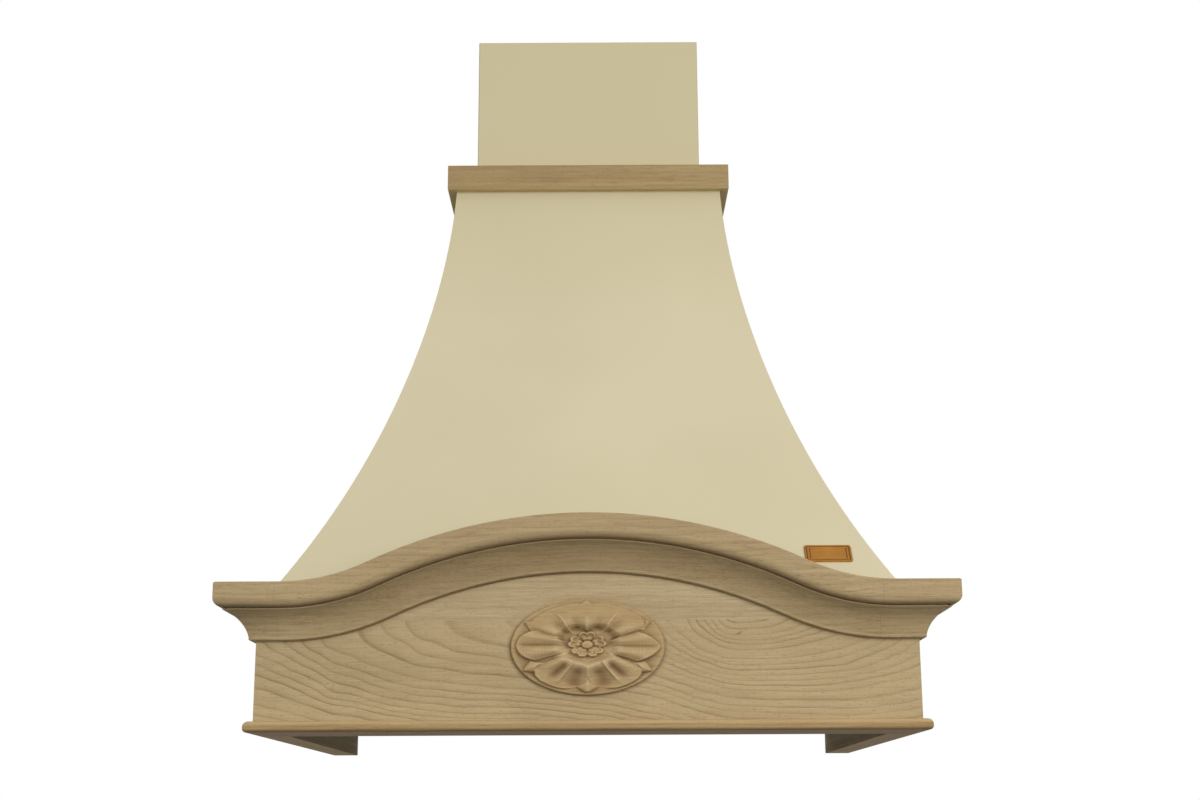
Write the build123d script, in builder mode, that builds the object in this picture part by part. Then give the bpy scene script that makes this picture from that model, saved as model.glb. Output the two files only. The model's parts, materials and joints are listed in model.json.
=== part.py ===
from build123d import *
import os
from math import asin, cos, radians, sin, sqrt

os.makedirs("parts", exist_ok=True)

# Range hood, millimetres, +Z up. The wall is the plane Y = 0, the front faces -Y,
# and the origin is midway between the four wall holes. Heights below are counted from
# the underside of the bottom rail and turned into model Z by up().

# ---------------------------------------------------------------- driving dimensions
HANG_H = 240.0  # height of the middle of the wall holes above the lower edge
HOLE_DX, HOLE_DZ, HOLE_R = 260.0, 120.0, 4.0  # wall holes

BOARD_X, BOARD_Y = 269.5, 469.5  # outer half width and depth of the board frame
BOARD_T = 20.0
IN_X, IN_Y = BOARD_X - BOARD_T, BOARD_Y - BOARD_T  # inside of the frame
RAIL_H, RAIL_OUT, RAIL_FRONT = 9.0, 7.0, 66.7  # bottom rail
SEAM_H = 89.5  # glue seam of the front board
FRAME_H = 118.0  # top of the frame at the ends of the arch
CORNICE_OUT = 30.5
COVE_R = 28.0  # hollow of the cornice
ARCH_RISE, ARCH_X, ARCH_R2 = 55.0, 247.0, 420.0  # arch of the cornice
ARCH_R1 = (ARCH_X**2 + ARCH_RISE**2) / (2 * ARCH_RISE) - ARCH_R2

TOP_X, TOP_Y, TOP_H = 132.5, 237.0, 547.5  # canopy top
FOOT_X, FOOT_Y = 261.3, 449.0  # canopy foot, at FRAME_H
SHEET = 1.2

COLLAR_X, COLLAR_Y, COLLAR_H = 141.2, 245.0, 25.6
CHIM_X, CHIM_Y, CHIM_T = 113.5, 217.5, 1.0
CHIM_LOW, CHIM_TOP = 380.0, 720.0

TRAY_H, TRAY_X = 32.0, 249.4
FILT_W, FILT_L, FILT_T = 198.0, 276.0, 10.0
FILT_CX, FILT_REAR = 112.0, 50.0
PIVOT_Y, PIVOT_H, PIVOT_R = 55.0, 37.0, 2.0

FAN_Y, FAN_H, FAN_R, FAN_W = 145.0, 195.0, 100.0, 65.0  # blower centre, scroll, half width
OUT_Y0, OUT_Y1, OUT_H = 170.0, 45.0, 310.0  # blower outlet
SPIGOT_R, SPIGOT_T, SPIGOT_Y, SPIGOT_TOP = 59.5, 1.5, 107.5, 361.5
FLAP_H, FLAP_OFF = 319.0, 3.5

LAMP_X, LAMP_Y = 170.0, 372.0
BUTTON_PITCH, BUTTON_Y = 22.0, 372.0
GLAND_X, GLAND_Y, GLAND_R = -104.0, 18.0, 3.6  # mains cord inlet


def up(h):
    """Model Z of a height above the lower edge."""
    return h - HANG_H


def block(x0, x1, y0, y1, h0, h1, mode=Mode.ADD):
    """A box between the given faces, heights from the lower edge."""
    with Locations(((x0 + x1) / 2, (y0 + y1) / 2, up((h0 + h1) / 2))):
        Box(abs(x1 - x0), abs(y1 - y0), abs(h1 - h0), mode=mode)


def rod(p, direction, r, length, mode=Mode.ADD):
    """A cylinder that starts at p, given with its height from the lower edge."""
    with Locations(Plane(origin=(p[0], p[1], up(p[2])), z_dir=direction).location):
        Cylinder(r, length, align=(Align.CENTER, Align.CENTER, Align.MIN), mode=mode)


def flare(h):
    """Share of the canopy's spread at a height: 0 at its top, 1 at its foot."""
    s = (TOP_H - h) / (TOP_H - FRAME_H)
    return (0.2063 * s + 1.0322 * s**2 - 0.5371 * s**3 + 0.3129 * s**4) / 1.0143


def flare_slope(h):
    """Change of that share per millimetre of height."""
    return (flare(h - 0.5) - flare(h + 0.5)) / 1.0


LEVELS = [FRAME_H + (TOP_H - FRAME_H) * i / 12 for i in range(13)]


def canopy_x(h):
    return TOP_X + (FOOT_X - TOP_X) * flare(h)


def canopy_y(h):
    return TOP_Y + (FOOT_Y - TOP_Y) * flare(h)


def wall_x(h):
    """Thickness of the side sheet measured level."""
    return SHEET * sqrt(1 + ((FOOT_X - TOP_X) * flare_slope(h)) ** 2)


def wall_y(h):
    return SHEET * sqrt(1 + ((FOOT_Y - TOP_Y) * flare_slope(h)) ** 2)


# ---------------------------------------------------------------- screw places
# wood screws: point of the head's seat and direction of driving
SIDE_TRAY = [(y, 48.0) for y in (-80.0, -240.0, -390.0)]
FRONT_TRAY = [(x, 48.0) for x in (-190.0, 0.0, 190.0)]
FRONT_CANOPY = [(x, 106.0) for x in (-200.0, -70.0, 70.0, 200.0)]
SIDE_COLLAR = [(125.5, -60.0), (125.5, -170.0)]
FRONT_COLLAR = [(-70.0, -230.0), (70.0, -230.0)]
BATTEN = [(x, 88.0) for x in (-190.0, -70.0, 70.0, 190.0)]
WOOD_SCREW_L, SCREW_R, HEAD_R, HEAD_H = 12.5, 1.75, 3.6, 2.0
HOLE_W, HOLE_S = 1.8, 2.1  # pilot hole in wood, clearance hole in sheet
# sheet screws
REAR_FLANGE = [(h, canopy_x(h) - 9.5) for h in (165.0, 265.0)]
BRACKET = [(x, h) for x in (-52.0, 52.0) for h in (235.0, 275.0)]
OUTLET = [(x, y) for x in (-69.5, 69.5) for y in (-150.0, -65.0)]
STRAP = [-105.0, 105.0]

# ---------------------------------------------------------------- beech frame
with BuildPart() as front_board_lower:
    block(-BOARD_X, BOARD_X, -BOARD_Y, -IN_Y, RAIL_H, SEAM_H)
    for x, h in FRONT_TRAY:
        rod((x, -IN_Y, h), (0, -1, 0), HOLE_W, 13.0, Mode.SUBTRACT)

ARCH_A = asin(ARCH_X / (ARCH_R1 + ARCH_R2))
ARCH_XM = ARCH_R2 * sin(ARCH_A)
ARCH_HM = FRAME_H + ARCH_RISE - ARCH_R2 * (1 - cos(ARCH_A))
ARCH_XQ = ARCH_X - ARCH_R1 * sin(ARCH_A / 2)
ARCH_HQ = FRAME_H + ARCH_R1 * (1 - cos(ARCH_A / 2))

with BuildPart() as front_board_upper:
    with BuildSketch(Plane.XZ.offset(IN_Y)):
        with BuildLine():
            Polyline(
                (-ARCH_X, up(FRAME_H)),
                (-BOARD_X, up(FRAME_H)),
                (-BOARD_X, up(SEAM_H)),
                (BOARD_X, up(SEAM_H)),
                (BOARD_X, up(FRAME_H)),
                (ARCH_X, up(FRAME_H)),
            )
            ThreePointArc(
                (ARCH_X, up(FRAME_H)), (ARCH_XQ, up(ARCH_HQ)), (ARCH_XM, up(ARCH_HM))
            )
            ThreePointArc(
                (ARCH_XM, up(ARCH_HM)),
                (0, up(FRAME_H + ARCH_RISE)),
                (-ARCH_XM, up(ARCH_HM)),
            )
            ThreePointArc(
                (-ARCH_XM, up(ARCH_HM)), (-ARCH_XQ, up(ARCH_HQ)), (-ARCH_X, up(FRAME_H))
            )
        make_face()
    extrude(amount=BOARD_T)
    for x, h in FRONT_CANOPY:
        rod((x, -IN_Y, h), (0, -1, 0), HOLE_W, 13.0, Mode.SUBTRACT)

with BuildPart() as left_board:
    block(-BOARD_X, -IN_X, -IN_Y, 0, RAIL_H, FRAME_H)
    for y, h in SIDE_TRAY:
        rod((-IN_X, y, h), (-1, 0, 0), HOLE_W, 13.0, Mode.SUBTRACT)

with BuildPart() as right_board:
    block(IN_X, BOARD_X, -IN_Y, 0, RAIL_H, FRAME_H)
    for y, h in SIDE_TRAY:
        rod((IN_X, y, h), (1, 0, 0), HOLE_W, 13.0, Mode.SUBTRACT)

# cornice profile: outward distance from the board, distance below the top edge
with BuildPart() as cornice_front:
    with BuildLine() as arch_path:
        Line((-310, -BOARD_Y, up(FRAME_H)), (-ARCH_X, -BOARD_Y, up(FRAME_H)))
        ThreePointArc(
            (-ARCH_X, -BOARD_Y, up(FRAME_H)),
            (-ARCH_XQ, -BOARD_Y, up(ARCH_HQ)),
            (-ARCH_XM, -BOARD_Y, up(ARCH_HM)),
        )
        ThreePointArc(
            (-ARCH_XM, -BOARD_Y, up(ARCH_HM)),
            (0, -BOARD_Y, up(FRAME_H + ARCH_RISE)),
            (ARCH_XM, -BOARD_Y, up(ARCH_HM)),
        )
        ThreePointArc(
            (ARCH_XM, -BOARD_Y, up(ARCH_HM)),
            (ARCH_XQ, -BOARD_Y, up(ARCH_HQ)),
            (ARCH_X, -BOARD_Y, up(FRAME_H)),
        )
        Line((ARCH_X, -BOARD_Y, up(FRAME_H)), (310, -BOARD_Y, up(FRAME_H)))
    with BuildSketch(
        Plane(origin=(-310, -BOARD_Y, up(FRAME_H)), x_dir=(0, -1, 0), z_dir=(1, 0, 0))
    ):
        with BuildLine():
            Polyline((0, 45.5), (0, 0), (29.5, 0), (30.5, 1.0), (30.5, 13.0))
            RadiusArc((30.5, 13.0), (23.5, 20.0), -7.0)
            Polyline((23.5, 20.0), (20.5, 20.0), (20.5, 21.0), (23.5, 21.0), (23.5, 21.7))
            RadiusArc((23.5, 21.7), (5.2, 42.0), COVE_R)
            Line((5.2, 42.0), (5.2, 43.6))
            RadiusArc((5.2, 43.6), (4.3, 44.5), -0.9)
            Line((4.3, 44.5), (0, 45.5))
        make_face()
    sweep(path=arch_path.line)
    with BuildSketch(Plane.XY.offset(up(0))):
        Polygon(
            (-BOARD_X, -BOARD_Y),
            (-BOARD_X - CORNICE_OUT, -BOARD_Y - CORNICE_OUT),
            (BOARD_X + CORNICE_OUT, -BOARD_Y - CORNICE_OUT),
            (BOARD_X, -BOARD_Y),
            align=None,
        )
    extrude(amount=300, mode=Mode.INTERSECT)

with BuildPart() as cornice_right:
    with BuildSketch(
        Plane(origin=(BOARD_X, 0, up(FRAME_H)), x_dir=(1, 0, 0), z_dir=(0, 1, 0))
    ):
        with BuildLine():
            Polyline((0, 45.5), (0, 0), (29.5, 0), (30.5, 1.0), (30.5, 13.0))
            RadiusArc((30.5, 13.0), (23.5, 20.0), -7.0)
            Polyline((23.5, 20.0), (20.5, 20.0), (20.5, 21.0), (23.5, 21.0), (23.5, 21.7))
            RadiusArc((23.5, 21.7), (5.2, 42.0), COVE_R)
            Line((5.2, 42.0), (5.2, 43.6))
            RadiusArc((5.2, 43.6), (4.3, 44.5), -0.9)
            Line((4.3, 44.5), (0, 45.5))
        make_face()
    extrude(amount=-510)
    with BuildSketch(Plane.XY.offset(up(0))):
        Polygon(
            (BOARD_X, 0),
            (BOARD_X + CORNICE_OUT, 0),
            (BOARD_X + CORNICE_OUT, -BOARD_Y - CORNICE_OUT),
            (BOARD_X, -BOARD_Y),
            align=None,
        )
    extrude(amount=300, mode=Mode.INTERSECT)

with BuildPart() as cornice_left:
    add(cornice_right.part.mirror(Plane.YZ))

with BuildPart() as rail_front:
    block(
        -BOARD_X - RAIL_OUT,
        BOARD_X + RAIL_OUT,
        -BOARD_Y - RAIL_OUT,
        -BOARD_Y - RAIL_OUT + RAIL_FRONT,
        0,
        RAIL_H,
    )
    rail_top = rail_front.edges().group_by(Axis.Z)[-1]
    fillet(rail_top.sort_by(Axis.Y)[:-1], radius=4.4)
    rail_low = rail_front.edges().group_by(Axis.Z)[0]
    fillet(rail_low.sort_by(Axis.Y)[:-1], radius=3.0)

with BuildPart() as rail_right:
    with BuildSketch(Plane.XZ):
        with BuildLine():
            Polyline(
                (IN_X, up(RAIL_H)),
                (IN_X, up(0)),
                (BOARD_X + RAIL_OUT - 3.0, up(0)),
            )
            RadiusArc(
                (BOARD_X + RAIL_OUT - 3.0, up(0)), (BOARD_X + RAIL_OUT, up(3.0)), -3.0
            )
            Line(
                (BOARD_X + RAIL_OUT, up(3.0)), (BOARD_X + RAIL_OUT, up(RAIL_H - 4.4))
            )
            RadiusArc(
                (BOARD_X + RAIL_OUT, up(RAIL_H - 4.4)),
                (BOARD_X + RAIL_OUT - 4.4, up(RAIL_H)),
                -4.4,
            )
            Line((BOARD_X + RAIL_OUT - 4.4, up(RAIL_H)), (IN_X, up(RAIL_H)))
        make_face()
    extrude(amount=BOARD_Y + RAIL_OUT - RAIL_FRONT)

with BuildPart() as rail_left:
    add(rail_right.part.mirror(Plane.YZ))

# ---------------------------------------------------------------- carved rosette
ROSE_A, ROSE_B, ROSE_H = 62.4, 38.7, 67.4
with BuildPart() as rosette:
    with BuildSketch(Plane.XZ.offset(BOARD_Y)) as rose_base:
        with Locations((0, up(ROSE_H))):
            Ellipse(ROSE_A, ROSE_B)
    extrude(amount=6.0)
    fillet(rosette.faces().sort_by(Axis.Y)[0].edges(), radius=3.0)
    with BuildSketch(Plane.XZ.offset(BOARD_Y + 5.0)):
        for angle in (0, 180):
            with Locations(
                Location((40 * cos(radians(angle)), up(ROSE_H), 0), (0, 0, angle))
            ):
                Ellipse(17, 9)
        for sx, sz, angle in ((1, 1, 36), (-1, 1, 144), (-1, -1, 216), (1, -1, 324)):
            with Locations(
                Location((sx * 24, up(ROSE_H) + sz * 18, 0), (0, 0, angle))
            ):
                Ellipse(14, 8)
    extrude(amount=5.0)
    with BuildSketch(Plane.XZ.offset(BOARD_Y + 5.0)):
        with Locations((0, up(ROSE_H))):
            Ellipse(16, 10)
    extrude(amount=7.0)

# ---------------------------------------------------------------- frame inside
with BuildPart() as corner_blocks:
    for side in (-1, 1):
        with BuildSketch(Plane.XY.offset(up(62))):
            Polygon(
                (side * IN_X, -IN_Y),
                (side * (IN_X - 36), -IN_Y),
                (side * IN_X, -IN_Y + 36),
                align=None,
            )
        extrude(amount=31)

with BuildPart() as rear_batten:
    block(-IN_X, IN_X, -20.0, -1.5, 66.0, 110.0)
    for x, h in BATTEN:
        rod((x, -20.0, h), (0, 1, 0), HOLE_W, 18.5, Mode.SUBTRACT)

# ---------------------------------------------------------------- canopy sheets
HIP_X = (FOOT_X - TOP_X) / (FOOT_Y - TOP_Y)  # plan slope of the hips
FAR_X, NEAR_X = 300.0, 100.0
FAR_Y = TOP_Y + (FAR_X - TOP_X) / HIP_X
NEAR_Y = TOP_Y + (NEAR_X - TOP_X) / HIP_X

with BuildPart() as canopy_front:
    with BuildSketch(Plane.YZ):
        with BuildLine():
            Spline(*[(-canopy_y(h), up(h)) for h in LEVELS])
            Spline(*[(-canopy_y(h) + wall_y(h), up(h)) for h in LEVELS])
            Line(
                (-canopy_y(FRAME_H), up(FRAME_H)),
                (-canopy_y(FRAME_H) + wall_y(FRAME_H), up(FRAME_H)),
            )
            Line(
                (-canopy_y(TOP_H), up(TOP_H)),
                (-canopy_y(TOP_H) + wall_y(TOP_H), up(TOP_H)),
            )
        make_face()
    extrude(amount=FAR_X, both=True)
    block(-FAR_X, FAR_X, -TOP_Y + 0.4, -TOP_Y + 14, TOP_H - SHEET, TOP_H)
    with BuildSketch(Plane.XY.offset(up(FRAME_H))):
        Polygon(
            (-NEAR_X, -NEAR_Y), (NEAR_X, -NEAR_Y), (FAR_X, -FAR_Y), (-FAR_X, -FAR_Y),
            align=None,
        )
    extrude(amount=TOP_H - FRAME_H, mode=Mode.INTERSECT)
    block(-IN_X + 1, IN_X - 1, -FOOT_Y, -FOOT_Y + SHEET, 95.0, FRAME_H)
    for x, h in FRONT_CANOPY:
        rod((x, -FOOT_Y - 1, h), (0, 1, 0), HOLE_S, 4.0, Mode.SUBTRACT)
    for x, y in FRONT_COLLAR:
        rod((x, y, TOP_H - 3), (0, 0, 1), HOLE_S, 4.0, Mode.SUBTRACT)

with BuildPart() as canopy_right:
    with BuildSketch(Plane.XZ):
        with BuildLine():
            Spline(*[(canopy_x(h), up(h)) for h in LEVELS])
            Spline(*[(canopy_x(h) - wall_x(h), up(h)) for h in LEVELS])
            Line(
                (canopy_x(FRAME_H), up(FRAME_H)),
                (canopy_x(FRAME_H) - wall_x(FRAME_H), up(FRAME_H)),
            )
            Line(
                (canopy_x(TOP_H), up(TOP_H)),
                (canopy_x(TOP_H) - wall_x(TOP_H), up(TOP_H)),
            )
        make_face()
    extrude(amount=FAR_Y)
    block(TOP_X - 14, TOP_X - 0.4, -FAR_Y, 0, TOP_H - SHEET, TOP_H)
    block(IN_X, FOOT_X - 1.0, -FAR_Y, 0, FRAME_H, FRAME_H + SHEET)
    with BuildSketch(Plane.XZ.offset(1.5)):
        with BuildLine():
            Spline(*[(canopy_x(h) - wall_x(h) / 2, up(h)) for h in LEVELS])
            Spline(*[(canopy_x(h) - 16.0, up(h)) for h in LEVELS])
            Line(
                (canopy_x(FRAME_H) - wall_x(FRAME_H) / 2, up(FRAME_H)),
                (canopy_x(FRAME_H) - 16.0, up(FRAME_H)),
            )
            Line(
                (canopy_x(TOP_H) - wall_x(TOP_H) / 2, up(TOP_H)),
                (canopy_x(TOP_H) - 16.0, up(TOP_H)),
            )
        make_face()
    extrude(amount=SHEET)
    with BuildSketch(Plane.XY.offset(up(FRAME_H))):
        Polygon(
            (NEAR_X, 0), (FAR_X, 0), (FAR_X, -FAR_Y), (NEAR_X, -NEAR_Y), align=None
        )
    extrude(amount=TOP_H - FRAME_H, mode=Mode.INTERSECT)
    for x, y in SIDE_COLLAR:
        rod((x, y, TOP_H - 3), (0, 0, 1), HOLE_S, 4.0, Mode.SUBTRACT)
    for h, x in REAR_FLANGE:
        rod((x, -4.0, h), (0, 1, 0), HOLE_S, 4.0, Mode.SUBTRACT)

with BuildPart() as canopy_left:
    add(canopy_right.part.mirror(Plane.YZ))

# ---------------------------------------------------------------- collar
COLLAR_IN_X, COLLAR_IN_Y = CHIM_X + 0.6, CHIM_Y + 0.6
with BuildPart() as collar_front:
    with BuildSketch(Plane.YZ):
        with Locations((-(COLLAR_Y + COLLAR_IN_Y) / 2, up(TOP_H + COLLAR_H / 2))):
            Rectangle(COLLAR_Y - COLLAR_IN_Y, COLLAR_H)
    extrude(amount=COLLAR_X, both=True)
    fillet(
        collar_front.edges().filter_by(Axis.X).group_by(Axis.Y)[0], radius=0.6
    )
    with BuildSketch(Plane.XY.offset(up(TOP_H))):
        Polygon(
            (-COLLAR_IN_X, -COLLAR_IN_Y),
            (COLLAR_IN_X, -COLLAR_IN_Y),
            (COLLAR_X, -COLLAR_Y),
            (-COLLAR_X, -COLLAR_Y),
            align=None,
        )
    extrude(amount=COLLAR_H, mode=Mode.INTERSECT)
    for x, y in FRONT_COLLAR:
        rod((x, y, TOP_H), (0, 0, 1), HOLE_W, 12.0, Mode.SUBTRACT)

with BuildPart() as collar_right:
    block(COLLAR_IN_X, COLLAR_X, -COLLAR_Y, 0, TOP_H, TOP_H + COLLAR_H)
    fillet(
        collar_right.edges().filter_by(Axis.Y).group_by(Axis.X)[-1], radius=0.6
    )
    with BuildSketch(Plane.XY.offset(up(TOP_H))):
        Polygon(
            (COLLAR_IN_X, 0),
            (COLLAR_X, 0),
            (COLLAR_X, -COLLAR_Y),
            (COLLAR_IN_X, -COLLAR_IN_Y),
            align=None,
        )
    extrude(amount=COLLAR_H, mode=Mode.INTERSECT)
    for x, y in SIDE_COLLAR:
        rod((x, y, TOP_H), (0, 0, 1), HOLE_W, 12.0, Mode.SUBTRACT)

with BuildPart() as collar_left:
    add(collar_right.part.mirror(Plane.YZ))

# ---------------------------------------------------------------- chimney
with BuildPart() as chimney_cover:
    block(-CHIM_X, CHIM_X, -CHIM_Y, -2.0, CHIM_LOW, CHIM_TOP)
    fillet(
        chimney_cover.edges().filter_by(Axis.Z).group_by(Axis.Y)[0], radius=1.5
    )
    block(
        -CHIM_X + CHIM_T, CHIM_X - CHIM_T, -CHIM_Y + CHIM_T, -3.0,
        CHIM_LOW - 1, CHIM_TOP + 1, Mode.SUBTRACT,
    )
    block(-97.5, 97.5, -3.5, -1.0, CHIM_LOW - 1, CHIM_TOP + 1, Mode.SUBTRACT)
    for x in STRAP:
        rod((x, -4.0, 702), (0, 1, 0), HOLE_S, 4.0, Mode.SUBTRACT)

with BuildPart() as chimney_strap:
    block(-CHIM_X + 1.5, CHIM_X - 1.5, -4.5, -3.0, 690, 714)
    for x in STRAP:
        rod((x, -6.0, 702), (0, 1, 0), HOLE_S, 4.0, Mode.SUBTRACT)
    for x in (-60.0, 60.0):
        rod((x, -6.0, 702), (0, 1, 0), 3.0, 4.0, Mode.SUBTRACT)

# ---------------------------------------------------------------- plate on the canopy
PLATE_X, PLATE_H = 204.3, 149.8
PLATE_SLOPE = -(FOOT_Y - TOP_Y) * flare_slope(PLATE_H)
PLATE_N = sqrt(1 + PLATE_SLOPE**2)
with BuildPart() as name_plate:
    with BuildSketch(
        Plane(
            origin=(
                PLATE_X,
                -canopy_y(PLATE_H) - 0.11 / PLATE_N,
                up(PLATE_H) - 0.11 * PLATE_SLOPE / PLATE_N,
            ),
            x_dir=(1, 0, 0),
            z_dir=(0, -1 / PLATE_N, -PLATE_SLOPE / PLATE_N),
        )
    ):
        RectangleRounded(40.0, 21.0, 2.4)
    extrude(amount=1.2)

# ---------------------------------------------------------------- back plate
with BuildPart() as back_plate:
    BACK_LEVELS = [136.0 + 204.0 * i / 10 for i in range(11)]
    right_edge = [(IN_X - 0.5, up(TRAY_H)), (IN_X - 0.5, up(122))] + [
        (canopy_x(h) - 4.0, up(h)) for h in BACK_LEVELS
    ]
    with BuildSketch(Plane.XZ):
        with BuildLine():
            Polyline(
                *right_edge,
                *[(-x, z) for x, z in reversed(right_edge)],
                close=True,
            )
        make_face()
    extrude(amount=1.5)
    for x in (-HOLE_DX / 2, HOLE_DX / 2):
        for h in (HANG_H - HOLE_DZ / 2, HANG_H + HOLE_DZ / 2):
            rod((x, -3.0, h), (0, 1, 0), HOLE_R, 4.0, Mode.SUBTRACT)
    for x, h in BATTEN + BRACKET:
        rod((x, -3.0, h), (0, 1, 0), HOLE_W, 4.0, Mode.SUBTRACT)
    for h, x in REAR_FLANGE:
        for side in (-1, 1):
            rod((side * x, -3.0, h), (0, 1, 0), HOLE_W, 4.0, Mode.SUBTRACT)

# ---------------------------------------------------------------- underside tray
SLOT_X0, SLOT_X1 = FILT_CX - FILT_W / 2 - 1, FILT_CX + FILT_W / 2 + 1
SLOT_Y0, SLOT_Y1 = FILT_REAR + FILT_L + 1.2, FILT_REAR - 2.5
BUTTON_XS = [BUTTON_PITCH * i for i in (-2, -1, 0, 1, 2)]
with BuildPart() as tray:
    block(-TRAY_X, TRAY_X, -IN_Y + 0.1, -1.5, TRAY_H, TRAY_H + SHEET)
    for side in (-1, 1):
        block(side * TRAY_X, side * (TRAY_X - SHEET), -IN_Y + 0.1, -1.5, TRAY_H, 58)
        block(
            side * SLOT_X0, side * SLOT_X1, -SLOT_Y0, -SLOT_Y1,
            TRAY_H - 1, TRAY_H + 4, Mode.SUBTRACT,
        )
        for x in (SLOT_X0 - SHEET, SLOT_X1):
            block(
                side * x, side * (x + SHEET), -PIVOT_Y - 7, -PIVOT_Y + 7, TRAY_H, 43
            )
            rod(
                (min(side * x, side * (x + SHEET)) - 1, -PIVOT_Y, PIVOT_H),
                (1, 0, 0), PIVOT_R + 0.08, SHEET + 2, Mode.SUBTRACT,
            )
        rod((side * LAMP_X, -LAMP_Y, TRAY_H - 1), (0, 0, 1), 27.0, 4.0, Mode.SUBTRACT)
        for y, h in SIDE_TRAY:
            rod(
                (side * (TRAY_X + 1), y, h), (-side, 0, 0), HOLE_S, 4.0, Mode.SUBTRACT
            )
    block(-TRAY_X, TRAY_X, -IN_Y + 0.1, -IN_Y + 0.1 + SHEET, TRAY_H, 58)
    block(-TRAY_X, TRAY_X, -1.5 - SHEET, -1.5, TRAY_H, 58)
    for x, h in FRONT_TRAY:
        rod((x, -IN_Y - 1, h), (0, 1, 0), HOLE_S, 4.0, Mode.SUBTRACT)
    for x in BUTTON_XS:
        block(
            x - 7.0, x + 7.0, -BUTTON_Y - 7.0, -BUTTON_Y + 7.0,
            TRAY_H - 1, TRAY_H + 4, Mode.SUBTRACT,
        )

# ---------------------------------------------------------------- grease filters
FILT_RIM, MESH_IN = 12.0, 1.5
with BuildPart() as filter_frame_right:
    block(
        FILT_CX - FILT_W / 2, FILT_CX + FILT_W / 2,
        -FILT_REAR - FILT_L, -FILT_REAR, TRAY_H, TRAY_H + FILT_T,
    )
    fillet(filter_frame_right.edges().filter_by(Axis.Z), radius=3.0)
    block(
        FILT_CX - FILT_W / 2 + FILT_RIM, FILT_CX + FILT_W / 2 - FILT_RIM,
        -FILT_REAR - FILT_L + FILT_RIM, -FILT_REAR - FILT_RIM,
        TRAY_H - 1, TRAY_H + FILT_T + 1, Mode.SUBTRACT,
    )
    block(
        FILT_CX - FILT_W / 2 + FILT_RIM - MESH_IN,
        FILT_CX + FILT_W / 2 - FILT_RIM + MESH_IN,
        -FILT_REAR - FILT_L + FILT_RIM - MESH_IN, -FILT_REAR - FILT_RIM + MESH_IN,
        TRAY_H + 1.5, TRAY_H + FILT_T - 1.5, Mode.SUBTRACT,
    )
    rod((FILT_CX - FILT_W / 2 + 4, -PIVOT_Y, PIVOT_H), (-1, 0, 0), PIVOT_R, 6.8)
    rod((FILT_CX + FILT_W / 2 - 4, -PIVOT_Y, PIVOT_H), (1, 0, 0), PIVOT_R, 6.8)

with BuildPart() as filter_frame_left:
    add(filter_frame_right.part.mirror(Plane.YZ))

# three layers of expanded mesh, each held by the groove of the frame
with BuildPart() as filter_mesh_right:
    for h in (TRAY_H + 1.5, TRAY_H + FILT_T / 2 - 0.3, TRAY_H + FILT_T - 2.1):
        block(
            FILT_CX - FILT_W / 2 + FILT_RIM - MESH_IN,
            FILT_CX + FILT_W / 2 - FILT_RIM + MESH_IN,
            -FILT_REAR - FILT_L + FILT_RIM - MESH_IN, -FILT_REAR - FILT_RIM + MESH_IN,
            h, h + 0.6,
        )

with BuildPart() as filter_mesh_left:
    add(filter_mesh_right.part.mirror(Plane.YZ))

with BuildPart() as filter_pull_right:
    block(FILT_CX - 22, FILT_CX + 22, -FILT_REAR - FILT_L + 2, -FILT_REAR - FILT_L + 11, 30.5, TRAY_H)
    block(FILT_CX - 22, FILT_CX + 22, -FILT_REAR - FILT_L + 9.5, -FILT_REAR - FILT_L + 11, 20.0, 31.0)
    block(FILT_CX - 22, FILT_CX + 22, -FILT_REAR - FILT_L + 9.5, -FILT_REAR - FILT_L + 15, 20.0, 21.5)

with BuildPart() as filter_pull_left:
    add(filter_pull_right.part.mirror(Plane.YZ))

with BuildPart() as filter_magnets:
    for side in (-1, 1):
        block(
            side * (FILT_CX - 14), side * (FILT_CX + 14), -SLOT_Y0 - 9, -SLOT_Y0,
            TRAY_H + SHEET, TRAY_H + FILT_T,
        )

# ---------------------------------------------------------------- controls
with BuildPart() as control_box:
    block(-62, 62, -BUTTON_Y - 19, -BUTTON_Y + 19, TRAY_H + SHEET, 66)
    block(-60.5, 60.5, -BUTTON_Y - 17.5, -BUTTON_Y + 17.5, TRAY_H, 64.5, Mode.SUBTRACT)

with BuildPart() as switch_block:
    block(-57, 57, -BUTTON_Y - 13, -BUTTON_Y + 13, 47, 64.5)
    for x in BUTTON_XS:
        rod((x, -BUTTON_Y, 46), (0, 0, 1), 3.25, 11.5, Mode.SUBTRACT)

BUTTON_NAMES = ["off", "low", "medium", "high", "light"]
with BuildPart() as button_off:
    block(-6.6, 6.6, -BUTTON_Y - 6.6, -BUTTON_Y + 6.6, 27, 36)
    fillet(button_off.edges().filter_by(Axis.Z), radius=2.0)
    fillet(button_off.faces().sort_by(Axis.Z)[0].edges(), radius=1.2)
    block(-8.5, 8.5, -BUTTON_Y - 8.5, -BUTTON_Y + 8.5, 33.5, 35)
    rod((0, -BUTTON_Y, 35), (0, 0, 1), 3.0, 18)

# ---------------------------------------------------------------- lamps
with BuildPart() as lamp_bezel_right:
    with BuildSketch(Plane.XZ.offset(LAMP_Y)):
        with BuildLine():
            Polyline(
                (LAMP_X + 22, up(29.5)), (LAMP_X + 31, up(29.5)), (LAMP_X + 32, up(30.5)),
                (LAMP_X + 32, up(32)), (LAMP_X + 26.7, up(32)), (LAMP_X + 26.7, up(40)),
                (LAMP_X + 25, up(40)), (LAMP_X + 25, up(31)), (LAMP_X + 22, up(31)),
                close=True,
            )
        make_face()
    revolve(axis=Axis((LAMP_X, -LAMP_Y, 0), (0, 0, 1)))

with BuildPart() as lamp_bezel_left:
    add(lamp_bezel_right.part.mirror(Plane.YZ))

with BuildPart() as lamp_glass_right:
    rod((LAMP_X, -LAMP_Y, 31), (0, 0, 1), 24.8, 2.5)

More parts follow.
